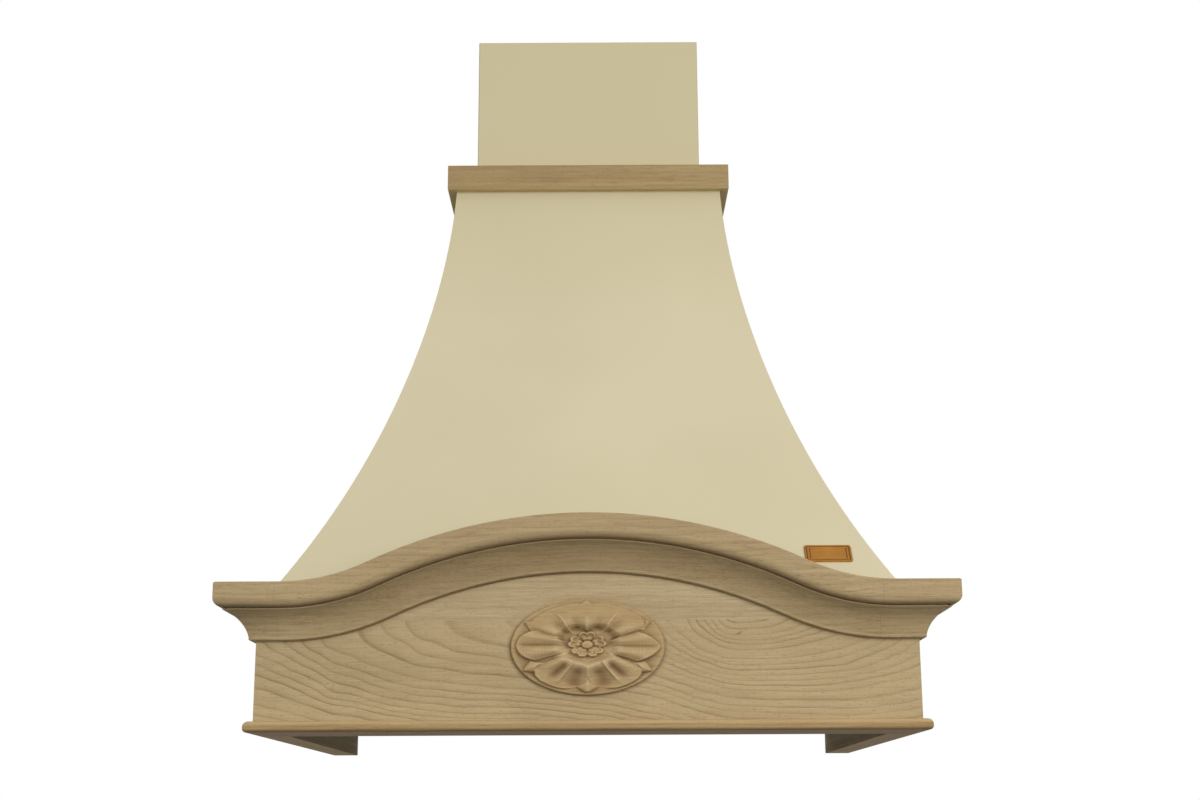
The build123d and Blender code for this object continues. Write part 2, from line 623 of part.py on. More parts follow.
with BuildPart() as lamp_glass_left:
    add(lamp_glass_right.part.mirror(Plane.YZ))

with BuildPart() as lamp_module_right:
    rod((LAMP_X, -LAMP_Y, 33.5), (0, 0, 1), 24.5, 9.0)
    rod((LAMP_X, -LAMP_Y, 42.5), (0, 0, 1), 14.0, 8.0)

with BuildPart() as lamp_module_left:
    add(lamp_module_right.part.mirror(Plane.YZ))

# ---------------------------------------------------------------- blower
with BuildPart() as blower_housing_right:
    with BuildSketch(Plane.YZ):
        with Locations((-FAN_Y, up(FAN_H))):
            Circle(FAN_R)
        with Locations((-(OUT_Y0 + OUT_Y1) / 2, up((FAN_H + OUT_H) / 2))):
            Rectangle(OUT_Y0 - OUT_Y1, OUT_H - FAN_H)
    extrude(amount=FAN_W)
    block(0, FAN_W + 10, -OUT_Y0 - 10, -OUT_Y1 + 10, OUT_H - 1.5, OUT_H)
    with BuildSketch(Plane.YZ):
        with Locations((-FAN_Y, up(FAN_H))):
            Circle(FAN_R - 1.5)
        with Locations((-(OUT_Y0 + OUT_Y1) / 2, up((FAN_H + OUT_H + 10) / 2))):
            Rectangle(OUT_Y0 - OUT_Y1 - 3, OUT_H + 10 - FAN_H)
    extrude(amount=FAN_W - 1.5, mode=Mode.SUBTRACT)
    rod((FAN_W - 3, -FAN_Y, FAN_H), (1, 0, 0), 62.0, 5.0, Mode.SUBTRACT)
    for x, y in OUTLET:
        if x > 0:
            rod((x, y, OUT_H - 3), (0, 0, 1), HOLE_W, 5.0, Mode.SUBTRACT)

with BuildPart() as blower_housing_left:
    add(blower_housing_right.part.mirror(Plane.YZ))

with BuildPart() as impeller:
    rod((-2, -FAN_Y, FAN_H), (1, 0, 0), 75.0, 4.0)
    rod((-12, -FAN_Y, FAN_H), (1, 0, 0), 12.0, 24.0)
    with BuildSketch(Plane.YZ):
        with Locations((-FAN_Y, up(FAN_H))):
            with PolarLocations(67.0, 28):
                Rectangle(14.0, 1.4, rotation=28)
    extrude(amount=48.0, both=True)
    for x0 in (-50.0, 46.0):
        with BuildSketch(Plane.YZ.offset(x0)):
            with Locations((-FAN_Y, up(FAN_H))):
                Circle(75.0)
                Circle(60.0, mode=Mode.SUBTRACT)
        extrude(amount=4.0)
    rod((-60, -FAN_Y, FAN_H), (1, 0, 0), 4.0, 120.0, Mode.SUBTRACT)

with BuildPart() as shaft:
    rod((-18, -FAN_Y, FAN_H), (1, 0, 0), 4.0, 118.0)

with BuildPart() as motor_bracket:
    with BuildSketch(Plane.YZ.offset(FAN_W)):
        with Locations((-FAN_Y, up(FAN_H))):
            Circle(74.0)
            Circle(63.0, mode=Mode.SUBTRACT)
            Circle(30.0)
            with PolarLocations(47.0, 3):
                Rectangle(38.0, 14.0)
            Circle(7.0, mode=Mode.SUBTRACT)
    extrude(amount=1.5)

with BuildPart() as motor:
    rod((FAN_W + 1.5, -FAN_Y, FAN_H), (1, 0, 0), 42.0, 60.0)
    fillet(motor.faces().sort_by(Axis.X)[-1].edges(), radius=6.0)
    rod((FAN_W + 61.5, -FAN_Y, FAN_H), (1, 0, 0), 14.0, 8.0)
    rod((FAN_W, -FAN_Y, FAN_H), (1, 0, 0), 4.06, 42.0, Mode.SUBTRACT)

with BuildPart() as blower_bracket:
    block(-40, 40, -OUT_Y1, -OUT_Y1 + 1.5, 225, 285)
    for side in (-1, 1):
        block(side * 40, side * 38.5, -OUT_Y1, -1.5, 225, 285)
        block(side * 64, side * 38.5, -3.0, -1.5, 225, 285)
    for x, h in BRACKET:
        rod((x, -5.0, h), (0, 1, 0), HOLE_S, 5.0, Mode.SUBTRACT)

# ---------------------------------------------------------------- outlet and flaps
with BuildPart() as spigot:
    block(-75, 75, -OUT_Y0 - 10, -OUT_Y1 + 10, OUT_H, OUT_H + 1.5)
    rod((0, -SPIGOT_Y, OUT_H), (0, 0, 1), SPIGOT_R, SPIGOT_TOP - OUT_H)
    rod((0, -SPIGOT_Y, OUT_H - 1), (0, 0, 1), 54.0, 60.0, Mode.SUBTRACT)
    rod(
        (0, -SPIGOT_Y, OUT_H + 4), (0, 0, 1), SPIGOT_R - SPIGOT_T, 60.0, Mode.SUBTRACT
    )
    for side in (-1, 1):
        rod((-70, -SPIGOT_Y + side * FLAP_OFF, FLAP_H), (1, 0, 0), 1.65, 140.0, Mode.SUBTRACT)
    for x, y in OUTLET:
        rod((x, y, OUT_H - 3), (0, 0, 1), HOLE_S, 6.0, Mode.SUBTRACT)

with BuildPart() as flap_rear:
    with BuildSketch(Plane.XY.offset(up(FLAP_H - 0.5))):
        with Locations((0, -SPIGOT_Y)):
            Circle(56.8)
            with Locations((0, -60 + FLAP_OFF + 0.3)):
                Rectangle(130, 120, mode=Mode.SUBTRACT)
    extrude(amount=1.0)
    rod((-58.8, -SPIGOT_Y + FLAP_OFF, FLAP_H), (1, 0, 0), 1.6, 117.6)

with BuildPart() as flap_front:
    add(flap_rear.part.mirror(Plane.XZ.offset(SPIGOT_Y)))

# ---------------------------------------------------------------- mains connection
with BuildPart() as terminal_box:
    block(-150, -90, -36.5, -1.5, 200, 250)
    block(-148, -92, -34.5, -1.0, 202, 248, Mode.SUBTRACT)
    rod((GLAND_X, -GLAND_Y, 246), (0, 0, 1), 6.05, 6.0, Mode.SUBTRACT)

with BuildPart() as cable_gland:
    with BuildSketch(Plane.XY.offset(up(250))):
        with Locations((GLAND_X, -GLAND_Y)):
            RegularPolygon(9.0, 6)
    extrude(amount=5.0)
    rod((GLAND_X, -GLAND_Y, 242), (0, 0, 1), 6.0, 22.0)
    rod((GLAND_X, -GLAND_Y, 241), (0, 0, 1), GLAND_R, 30.0, Mode.SUBTRACT)

# ---------------------------------------------------------------- fasteners
with BuildPart() as frame_screws:
    SEATS = []
    for y, h in SIDE_TRAY:
        SEATS += [((TRAY_X - SHEET, y, h), (1, 0, 0)), ((SHEET - TRAY_X, y, h), (-1, 0, 0))]
    for x, h in FRONT_TRAY:
        SEATS.append(((x, -IN_Y + 0.1 + SHEET, h), (0, -1, 0)))
    for x, h in FRONT_CANOPY:
        SEATS.append(((x, -FOOT_Y + SHEET, h), (0, -1, 0)))
    for x, y in SIDE_COLLAR:
        SEATS += [((x, y, TOP_H - SHEET), (0, 0, 1)), ((-x, y, TOP_H - SHEET), (0, 0, 1))]
    for x, y in FRONT_COLLAR:
        SEATS.append(((x, y, TOP_H - SHEET), (0, 0, 1)))
    for seat, way in SEATS:
        rod(seat, way, SCREW_R, WOOD_SCREW_L)
        rod(seat, (-way[0], -way[1], -way[2]), HEAD_R, HEAD_H)

with BuildPart() as plate_screws:
    SEATS = [((x, -20.0, h), (0, 1, 0), 19.8) for x, h in BATTEN]
    for h, x in REAR_FLANGE:
        for side in (-1, 1):
            SEATS.append(((side * x, -1.5 - SHEET, h), (0, 1, 0), 2.5))
    for x, h in BRACKET:
        SEATS.append(((x, -3.0, h), (0, 1, 0), 2.8))
    for x, y in OUTLET:
        SEATS.append(((x, y, OUT_H + 1.5), (0, 0, -1), 8.0))
    for seat, way, length in SEATS:
        rod(seat, way, SCREW_R, length)
        rod(seat, (-way[0], -way[1], -way[2]), HEAD_R, HEAD_H)

with BuildPart() as strap_screws:
    for x in STRAP:
        rod((x, -4.5, 702), (0, 1, 0), SCREW_R, 2.4)
        rod((x, -4.5, 702), (0, -1, 0), HEAD_R, HEAD_H)

# ---------------------------------------------------------------- write the pieces
front_board_lower.part.label = "front_board_lower"
export_step(front_board_lower.part, "parts/front_board_lower.step")
front_board_upper.part.label = "front_board_upper"
export_step(front_board_upper.part, "parts/front_board_upper.step")
left_board.part.label = "left_board"
export_step(left_board.part, "parts/left_board.step")
right_board.part.label = "right_board"
export_step(right_board.part, "parts/right_board.step")
cornice_front.part.label = "cornice_front"
export_step(cornice_front.part, "parts/cornice_front.step")
cornice_left.part.label = "cornice_left"
export_step(cornice_left.part, "parts/cornice_left.step")
cornice_right.part.label = "cornice_right"
export_step(cornice_right.part, "parts/cornice_right.step")
rail_front.part.label = "rail_front"
export_step(rail_front.part, "parts/rail_front.step")
rail_left.part.label = "rail_left"
export_step(rail_left.part, "parts/rail_left.step")
rail_right.part.label = "rail_right"
export_step(rail_right.part, "parts/rail_right.step")
rosette.part.label = "rosette"
export_step(rosette.part, "parts/rosette.step")
corner_blocks.part.label = "corner_blocks"
export_step(corner_blocks.part, "parts/corner_blocks.step")
rear_batten.part.label = "rear_batten"
export_step(rear_batten.part, "parts/rear_batten.step")
canopy_front.part.label = "canopy_front"
export_step(canopy_front.part, "parts/canopy_front.step")
canopy_left.part.label = "canopy_left"
export_step(canopy_left.part, "parts/canopy_left.step")
canopy_right.part.label = "canopy_right"
export_step(canopy_right.part, "parts/canopy_right.step")
collar_front.part.label = "collar_front"
export_step(collar_front.part, "parts/collar_front.step")
collar_left.part.label = "collar_left"
export_step(collar_left.part, "parts/collar_left.step")
collar_right.part.label = "collar_right"
export_step(collar_right.part, "parts/collar_right.step")
chimney_cover.part.label = "chimney_cover"
export_step(chimney_cover.part, "parts/chimney_cover.step")
chimney_strap.part.label = "chimney_strap"
export_step(chimney_strap.part, "parts/chimney_strap.step")
name_plate.part.label = "name_plate"
export_step(name_plate.part, "parts/name_plate.step")
back_plate.part.label = "back_plate"
export_step(back_plate.part, "parts/back_plate.step")
tray.part.label = "tray"
export_step(tray.part, "parts/tray.step")
filter_frame_left.part.label = "filter_frame_left"
export_step(filter_frame_left.part, "parts/filter_frame_left.step")
filter_frame_right.part.label = "filter_frame_right"
export_step(filter_frame_right.part, "parts/filter_frame_right.step")
filter_mesh_left.part.label = "filter_mesh_left"
export_step(filter_mesh_left.part, "parts/filter_mesh_left.step")
filter_mesh_right.part.label = "filter_mesh_right"
export_step(filter_mesh_right.part, "parts/filter_mesh_right.step")
filter_pull_left.part.label = "filter_pull_left"
export_step(filter_pull_left.part, "parts/filter_pull_left.step")
filter_pull_right.part.label = "filter_pull_right"
export_step(filter_pull_right.part, "parts/filter_pull_right.step")
filter_magnets.part.label = "filter_magnets"
export_step(filter_magnets.part, "parts/filter_magnets.step")
control_box.part.label = "control_box"
export_step(control_box.part, "parts/control_box.step")
switch_block.part.label = "switch_block"
export_step(switch_block.part, "parts/switch_block.step")
lamp_bezel_left.part.label = "lamp_bezel_left"
export_step(lamp_bezel_left.part, "parts/lamp_bezel_left.step")
lamp_bezel_right.part.label = "lamp_bezel_right"
export_step(lamp_bezel_right.part, "parts/lamp_bezel_right.step")
lamp_glass_left.part.label = "lamp_glass_left"
export_step(lamp_glass_left.part, "parts/lamp_glass_left.step")
lamp_glass_right.part.label = "lamp_glass_right"
export_step(lamp_glass_right.part, "parts/lamp_glass_right.step")
lamp_module_left.part.label = "lamp_module_left"
export_step(lamp_module_left.part, "parts/lamp_module_left.step")
lamp_module_right.part.label = "lamp_module_right"
export_step(lamp_module_right.part, "parts/lamp_module_right.step")
blower_housing_left.part.label = "blower_housing_left"
export_step(blower_housing_left.part, "parts/blower_housing_left.step")
blower_housing_right.part.label = "blower_housing_right"
export_step(blower_housing_right.part, "parts/blower_housing_right.step")
impeller.part.label = "impeller"
export_step(impeller.part, "parts/impeller.step")
shaft.part.label = "shaft"
export_step(shaft.part, "parts/shaft.step")
motor_bracket.part.label = "motor_bracket"
export_step(motor_bracket.part, "parts/motor_bracket.step")
motor.part.label = "motor"
export_step(motor.part, "parts/motor.step")
blower_bracket.part.label = "blower_bracket"
export_step(blower_bracket.part, "parts/blower_bracket.step")
spigot.part.label = "spigot"
export_step(spigot.part, "parts/spigot.step")
flap_front.part.label = "flap_front"
export_step(flap_front.part, "parts/flap_front.step")
flap_rear.part.label = "flap_rear"
export_step(flap_rear.part, "parts/flap_rear.step")
terminal_box.part.label = "terminal_box"
export_step(terminal_box.part, "parts/terminal_box.step")
cable_gland.part.label = "cable_gland"
export_step(cable_gland.part, "parts/cable_gland.step")
frame_screws.part.label = "frame_screws"
export_step(frame_screws.part, "parts/frame_screws.step")
plate_screws.part.label = "plate_screws"
export_step(plate_screws.part, "parts/plate_screws.step")
strap_screws.part.label = "strap_screws"
export_step(strap_screws.part, "parts/strap_screws.step")

# the five push buttons are alike, each in its own slot
for button_name, button_x in zip(BUTTON_NAMES, BUTTON_XS):
    with BuildPart() as button:
        add(button_off.part.moved(Location((button_x, 0, 0))))
    button.part.label = "button_" + button_name
    export_step(button.part, "parts/button_" + button_name + ".step")
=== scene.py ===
import bpy
import json
import math
import numpy as np
from mathutils import Matrix, Vector

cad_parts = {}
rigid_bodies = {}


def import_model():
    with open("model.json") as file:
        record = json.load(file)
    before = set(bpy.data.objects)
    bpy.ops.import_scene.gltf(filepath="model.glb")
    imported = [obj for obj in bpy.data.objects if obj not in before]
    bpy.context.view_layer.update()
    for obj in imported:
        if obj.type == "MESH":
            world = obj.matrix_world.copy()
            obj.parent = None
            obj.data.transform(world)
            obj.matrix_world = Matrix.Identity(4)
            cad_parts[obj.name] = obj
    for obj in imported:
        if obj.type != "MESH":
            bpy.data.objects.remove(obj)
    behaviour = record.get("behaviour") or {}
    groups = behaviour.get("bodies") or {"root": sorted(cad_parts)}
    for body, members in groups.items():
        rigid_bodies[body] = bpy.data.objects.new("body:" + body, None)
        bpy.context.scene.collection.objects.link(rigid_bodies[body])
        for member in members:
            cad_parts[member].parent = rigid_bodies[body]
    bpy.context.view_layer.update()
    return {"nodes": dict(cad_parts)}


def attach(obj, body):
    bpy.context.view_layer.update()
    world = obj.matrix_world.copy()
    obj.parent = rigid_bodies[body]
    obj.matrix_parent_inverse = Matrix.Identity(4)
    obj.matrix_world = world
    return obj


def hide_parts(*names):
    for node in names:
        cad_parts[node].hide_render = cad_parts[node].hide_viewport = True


for old in list(bpy.data.objects):
    bpy.data.objects.remove(old)

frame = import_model()
nodes = frame["nodes"]
scene = bpy.context.scene


def lin(r, g, b):
    """A colour read as 0-255 sRGB, in linear light."""
    def one(c):
        c = c / 255.0
        return c / 12.92 if c <= 0.04045 else ((c + 0.055) / 1.055) ** 2.4
    return (one(r), one(g), one(b), 1.0)


# ---------------------------------------------------------------- node helpers
class Tree:
    """A material's node tree, with short calls for the nodes used here."""

    def __init__(self, name):
        self.mat = bpy.data.materials.new(name)
        self.mat.use_nodes = True
        self.t = self.mat.node_tree
        self.t.nodes.clear()
        self.out = self.t.nodes.new("ShaderNodeOutputMaterial")
        self.bsdf = self.t.nodes.new("ShaderNodeBsdfPrincipled")
        self.t.links.new(self.bsdf.outputs[0], self.out.inputs["Surface"])
        self.tc = self.t.nodes.new("ShaderNodeTexCoord")
        self.P = self.tc.outputs["Object"]

    def put(self, socket, value):
        if hasattr(value, "is_output"):
            self.t.links.new(value, socket)
        else:
            socket.default_value = value

    def math(self, op, a, b=0.0, clamp=False):
        n = self.t.nodes.new("ShaderNodeMath")
        n.operation = op
        n.use_clamp = clamp
        self.put(n.inputs[0], a)
        self.put(n.inputs[1], b)
        return n.outputs[0]

    def sep(self, v):
        n = self.t.nodes.new("ShaderNodeSeparateXYZ")
        self.put(n.inputs[0], v)
        return n.outputs[0], n.outputs[1], n.outputs[2]

    def comb(self, x, y, z):
        n = self.t.nodes.new("ShaderNodeCombineXYZ")
        for s, v in zip(n.inputs, (x, y, z)):
            self.put(s, v)
        return n.outputs[0]

    def scaled(self, v, sx, sy, sz, ox=0.0, oy=0.0, oz=0.0):
        n = self.t.nodes.new("ShaderNodeMapping")
        self.put(n.inputs["Vector"], v)
        n.inputs["Scale"].default_value = (sx, sy, sz)
        n.inputs["Location"].default_value = (ox, oy, oz)
        return n.outputs[0]

    def noise(self, v, scale=1.0, detail=2.0, rough=0.5, distort=0.0):
        n = self.t.nodes.new("ShaderNodeTexNoise")
        self.put(n.inputs["Vector"], v)
        n.inputs["Scale"].default_value = scale
        n.inputs["Detail"].default_value = detail
        n.inputs["Roughness"].default_value = rough
        n.inputs["Distortion"].default_value = distort
        return n.outputs[0]

    def voronoi(self, v, scale=1.0, feature="F1", out="Distance", rand=1.0):
        n = self.t.nodes.new("ShaderNodeTexVoronoi")
        n.feature = feature
        self.put(n.inputs["Vector"], v)
        n.inputs["Scale"].default_value = scale
        n.inputs["Randomness"].default_value = rand
        return n.outputs[out]

    def white(self, v):
        n = self.t.nodes.new("ShaderNodeTexWhiteNoise")
        n.noise_dimensions = "1D"
        self.put(n.inputs["W"], v)
        return n.outputs["Value"]

    def ramp(self, f, stops, interp="LINEAR"):
        n = self.t.nodes.new("ShaderNodeValToRGB")
        self.put(n.inputs[0], f)
        r = n.color_ramp
        r.interpolation = interp
        while len(r.elements) < len(stops):
            r.elements.new(0.5)
        for e, (p, c) in zip(r.elements, stops):
            e.position = p
            e.color = c if hasattr(c, "__len__") else (c, c, c, 1.0)
        return n.outputs[0]

    def mix(self, f, a, b, blend="MIX"):
        n = self.t.nodes.new("ShaderNodeMix")
        n.data_type = "RGBA"
        n.blend_type = blend
        n.clamp_factor = True
        self.put(n.inputs[0], f)
        self.put(n.inputs[6], a)
        self.put(n.inputs[7], b)
        return n.outputs[2]

    def span(self, f, lo, hi, a=0.0, b=1.0):
        n = self.t.nodes.new("ShaderNodeMapRange")
        n.clamp = True
        self.put(n.inputs[0], f)
        for i, v in enumerate((lo, hi, a, b)):
            n.inputs[1 + i].default_value = v
        return n.outputs[0]

    def bump(self, height, strength, distance, under=None):
        n = self.t.nodes.new("ShaderNodeBump")
        n.inputs["Strength"].default_value = strength
        n.inputs["Distance"].default_value = distance
        self.put(n.inputs["Height"], height)
        if under is not None:
            self.put(n.inputs["Normal"], under)
        return n.outputs[0]

    def finish(self, colour, rough, normal=None, **fixed):
        self.put(self.bsdf.inputs["Base Color"], colour)
        self.put(self.bsdf.inputs["Roughness"], rough)
        if normal is not None:
            self.put(self.bsdf.inputs["Normal"], normal)
        for k, v in fixed.items():
            self.bsdf.inputs[k.replace("_", " ")].default_value = v
        return self.mat


# ---------------------------------------------------------------- materials
def wood(name, along="x", light=(176, 156, 118), dark=(150, 128, 92), line=(128, 102, 68),
         centre=(0.0, 400.0), left=30.0, right=30.0, pitch=7.0, lines=0.4, warp=3.0,
         bands=0.5, seed=0.0, fleck=0.5, vein=0.3, between=0.0, fibres=0.46, bend=None, painted_cavity_shade=None, extra=None):
    """Unfinished beech. along is the grain's axis. The growth rings are nested arcs about a centre (mm along the grain, mm high), stretched along the grain by left and right, pitch mm apart. bend gives the left reach of the rings instead, as pairs of mm along and mm of ring."""
    m = Tree(name)
    x, y, z = m.sep(m.P)
    s, t, d = {"x": (x, z, y), "y": (y, z, x), "z": (z, x, y)}[along]
    s, t, d = (m.math("MULTIPLY", v, 1000.0) for v in (s, t, d))   # mm
    # slow wander of the rings
    g = m.comb(m.math("MULTIPLY", s, 0.012), m.math("MULTIPLY", t, 0.03), m.math("MULTIPLY", d, 0.03))
    g = m.scaled(g, 1, 1, 1, seed, seed * 0.7, -seed * 0.4)
    wander = m.math("MULTIPLY", m.math("SUBTRACT", m.noise(g, 1.0, 2.0, 0.45), 0.5), warp * 4.0)
    g2 = m.comb(m.math("MULTIPLY", s, 0.06), m.math("MULTIPLY", t, 0.09), m.math("MULTIPLY", d, 0.09))
    ripple = m.math("MULTIPLY", m.math("SUBTRACT", m.noise(g2, 1.0, 2.0, 0.5), 0.5), warp * 0.55)
    ds = m.math("SUBTRACT", s, centre[0])
    if bend:
        back = m.math("DIVIDE", m.math("MAXIMUM", m.math("MULTIPLY", ds, -1.0), 0.0), 400.0)
        back = m.math("MULTIPLY", m.ramp(back, [(at / 400.0, mm / 100.0) for at, mm in bend], "CARDINAL"), 100.0)
    else:
        back = m.math("MULTIPLY", m.math("MINIMUM", ds, 0.0), 1.0 / left)
    q = m.math("ADD", m.math("MULTIPLY", m.math("MAXIMUM", ds, 0.0), 1.0 / right), back)
    dt = m.math("SUBTRACT", t, centre[1])
    if bend:      # the rings stand wider apart at the right
        dt = m.math("MULTIPLY", dt, m.span(s, 20.0, 260.0, 1.0, 0.78))
    phi = m.math("SQRT", m.math("ADD", m.math("MULTIPLY", q, q), m.math("MULTIPLY", dt, dt)))
    phi = m.math("ADD", m.math("ADD", phi, m.math("MULTIPLY", d, 0.45)), m.math("ADD", wander, ripple))
    uneven = m.noise(m.comb(m.math("MULTIPLY", phi, 0.045), seed, 0.0), 1.0, 1.0, 0.5)
    phi = m.math("ADD", phi, m.math("MULTIPLY", m.math("SUBTRACT", uneven, 0.5), pitch * 3.2))
    phase = m.math("ADD", m.math("DIVIDE", phi, pitch), 100.0 + seed)
    ring = m.math("FRACT", phase)
    each = m.white(m.math("FLOOR", phase))
    edge = m.ramp(ring, [(0.0, 0.0), (0.42, 0.03), (0.74, 0.34), (0.87, 1.0), (0.945, 1.0), (1.0, 0.0)])
    edge = m.math("MULTIPLY", edge, m.span(each, 0.0, 1.0, 0.45, 1.0))
    if between:   # finer rings, which show where the board is cut nearer the heart
        half = m.math("FRACT", m.math("MULTIPLY", m.math("ADD", phase, m.math("MULTIPLY", each, 0.10)), 2.0))
        faint = m.ramp(half, [(0.0, 0.0), (0.55, 0.05), (0.84, 0.55), (0.92, 1.0), (1.0, 0.0)])
        edge = m.math("MAXIMUM", edge, m.math("MULTIPLY", faint, m.span(s, -60.0, 60.0, 0.10, between)))
    # the line fades in and out along its length
    fade = m.noise(m.comb(m.math("MULTIPLY", s, 0.03), m.math("MULTIPLY", t, 0.05), m.math("MULTIPLY", d, 0.05)), 1.0, 2.0, 0.5)
    edge = m.math("MULTIPLY", edge, m.span(fade, 0.3, 0.62, 0.45, 1.0))
    # fibres, streaks and flecks, long along the grain
    fibre = m.noise(m.comb(m.math("MULTIPLY", s, 0.035), m.math("MULTIPLY", t, 1.5), m.math("MULTIPLY", d, 1.5)), 1.0, 4.0, 0.65)
    streak = m.noise(m.scaled(m.comb(m.math("MULTIPLY", s, 0.006), m.math("MULTIPLY", t, 0.19), m.math("MULTIPLY", d, 0.19)), 1, 1, 1, seed), 1.0, 3.0, 0.55)
    flecks = 0.0
    for long, thick, lo, hi, amount in ((5.0, 1.15, 0.06, 0.36, 1.0), (2.8, 0.80, 0.06, 0.40, 0.9)):
        vn = m.t.nodes.new("ShaderNodeTexVoronoi")
        vn.inputs["Scale"].default_value = 1.0
        m.put(vn.inputs["Vector"], m.comb(m.math("DIVIDE", s, long), m.math("DIVIDE", t, thick), m.math("DIVIDE", d, thick)))
        own = m.sep(vn.outputs["Color"])[0]
        dot = m.math("MULTIPLY", m.span(vn.outputs["Distance"], lo, hi, 1.0, 0.0), m.span(own, 0.30, 1.0, 0.0, amount))
        flecks = m.math("MAXIMUM", flecks, dot)
    pv = m.comb(m.math("DIVIDE", s, 24.0), m.math("DIVIDE", t, 2.2), m.math("DIVIDE", d, 2.2))
    dashes = m.span(m.voronoi(pv), 0.06, 0.15, 1.0, 0.0)
    # thin wavy veins: the level lines of a field that is long along the grain
    lev = m.noise(m.scaled(m.comb(m.math("MULTIPLY", s, 0.0085), m.math("MULTIPLY", t, 0.085), m.math("MULTIPLY", d, 0.085)), 1, 1, 1, seed * 1.7, seed), 1.0, 3.0, 0.5)
    saw = m.math("FRACT", m.math("MULTIPLY", lev, 11.0))
    veins = m.ramp(saw, [(0.0, 0.9), (0.10, 0.35), (0.45, 0.0), (0.86, 0.10), (1.0, 1.0)])
    veins = m.math("MULTIPLY", veins, m.span(m.noise(m.comb(m.math("MULTIPLY", s, 0.02), m.math("MULTIPLY", t, 0.05), seed), 1.0, 2.0, 0.5), 0.35, 0.65, 0.25, 1.0))
    cloud = m.noise(m.comb(m.math("MULTIPLY", s, 0.008), m.math("MULTIPLY", t, 0.02), m.math("MULTIPLY", d, 0.02)), 1.0, 2.0, 0.5)
    lightc, darkc, linec = lin(*light), lin(*dark), lin(*line)
    tone = m.math("ADD", m.math("MULTIPLY", m.span(fibre, 0.28, 0.72), fibres),
                  m.math("ADD", m.math("MULTIPLY", m.span(streak, 0.3, 0.7), bands * 0.62),
                         m.math("MULTIPLY", m.span(cloud, 0.3, 0.7), 0.22)))
    col = m.mix(m.math("MINIMUM", tone, 1.0), lightc, darkc)
    col = m.mix(m.math("MULTIPLY", edge, lines), col, linec)
    col = m.mix(m.math("MULTIPLY", veins, vein), col, linec)
    col = m.mix(m.math("MULTIPLY", flecks, fleck * 0.62), col, linec)
    col = m.mix(m.math("MULTIPLY", dashes, fleck * 0.45), col, linec)
    if extra:
        col = extra(m, s, t, col, linec)
    # painted shade in the carving's hollows, and painted highlight on its ridges
    if painted_cavity_shade:
        a = m.t.nodes.new("ShaderNodeAttribute")
        a.attribute_name = painted_cavity_shade
        col = m.mix(a.outputs["Fac"], col, lin(112, 84, 50))
        # painted highlight on the carving's sharp ridges
        a = m.t.nodes.new("ShaderNodeAttribute")
        a.attribute_name = "painted_highlight"
        col = m.mix(a.outputs["Fac"], col, lin(206, 187, 150))
    rough = m.span(fibre, 0.2, 0.8, 0.56, 0.74)
    h = m.math("SUBTRACT", m.math("MULTIPLY", fibre, 0.8),
               m.math("ADD", m.math("MULTIPLY", flecks, 0.3), m.math("MULTIPLY", edge, 0.25)))
    nrm = m.bump(h, 0.16, 0.0005)
    return m.finish(col, rough, nrm, Specular_IOR_Level=0.32)


def painted(name, colour, spread=3, rough=(0.50, 0.60), peel=0.05, foot_shade_and_top_tint=False):
    """Sprayed paint on sheet: a very slight mottle, and orange peel."""
    m = Tree(name)
    big = m.noise(m.P, 5.0, 3.0, 0.5)
    fine = m.noise(m.P, 420.0, 2.0, 0.5)
    dust = m.span(m.voronoi(m.P, 160.0), 0.03, 0.07, 1.0, 0.0)
    r, g, b = colour
    col = m.ramp(big, [(0.3, lin(r - spread, g - spread, b - spread)), (0.7, lin(r + spread, g + spread, b + spread))])
    col = m.mix(m.math("MULTIPLY", dust, 0.05), col, lin(r - 40, g - 40, b - 40))
    if foot_shade_and_top_tint:      # painted shade: darker towards the foot of the canopy and its lower left corner; a little yellower and darker towards the top
        x, y, z = m.sep(m.P)
        foot = m.math("MULTIPLY", m.span(z, 0.07, -0.05, 0.0, 1.0), 0.24)
        corner = m.math("MULTIPLY", m.span(z, 0.0, -0.09, 0.0, 1.0), m.span(x, -0.06, -0.24, 0.0, 0.20))
        col = m.mix(m.math("ADD", foot, corner), col, lin(r - 20, g - 20, b - 21))
        col = m.mix(m.span(z, 0.15, 0.36, 0.0, 0.9), col, lin(r - 3, g - 4, b - 9))
    rr = m.span(m.noise(m.P, 60.0, 3.0, 0.6), 0.3, 0.7, *rough)
    nrm = m.bump(fine, peel, 0.0004)
    return m.finish(col, rr, nrm, Specular_IOR_Level=0.32)


def zinc(name):
    """Galvanised sheet, with its crystal spangle."""
    m = Tree(name)
    v = m.t.nodes.new("ShaderNodeTexVoronoi")
    v.inputs["Scale"].default_value = 170.0
    m.put(v.inputs["Vector"], m.P)
    cell = v.outputs["Color"]
    r, g, b = m.sep(cell)
    col = m.ramp(r, [(0.0, lin(176, 180, 183)), (0.5, lin(190, 193, 195)), (1.0, lin(204, 207, 208))])
    smear = m.noise(m.P, 14.0, 4.0, 0.6)
    col = m.mix(m.span(smear, 0.45, 0.75, 0.0, 0.35), col, lin(140, 144, 147))
    rough = m.math("ADD", m.span(g, 0.0, 1.0, 0.36, 0.46), m.span(smear, 0.4, 0.8, 0.0, 0.10))
    nrm = m.bump(m.math("ADD", m.math("MULTIPLY", b, 0.4), m.noise(m.P, 700.0, 2.0, 0.5)), 0.05, 0.0003)
    return m.finish(col, rough, nrm, Metallic=0.9)


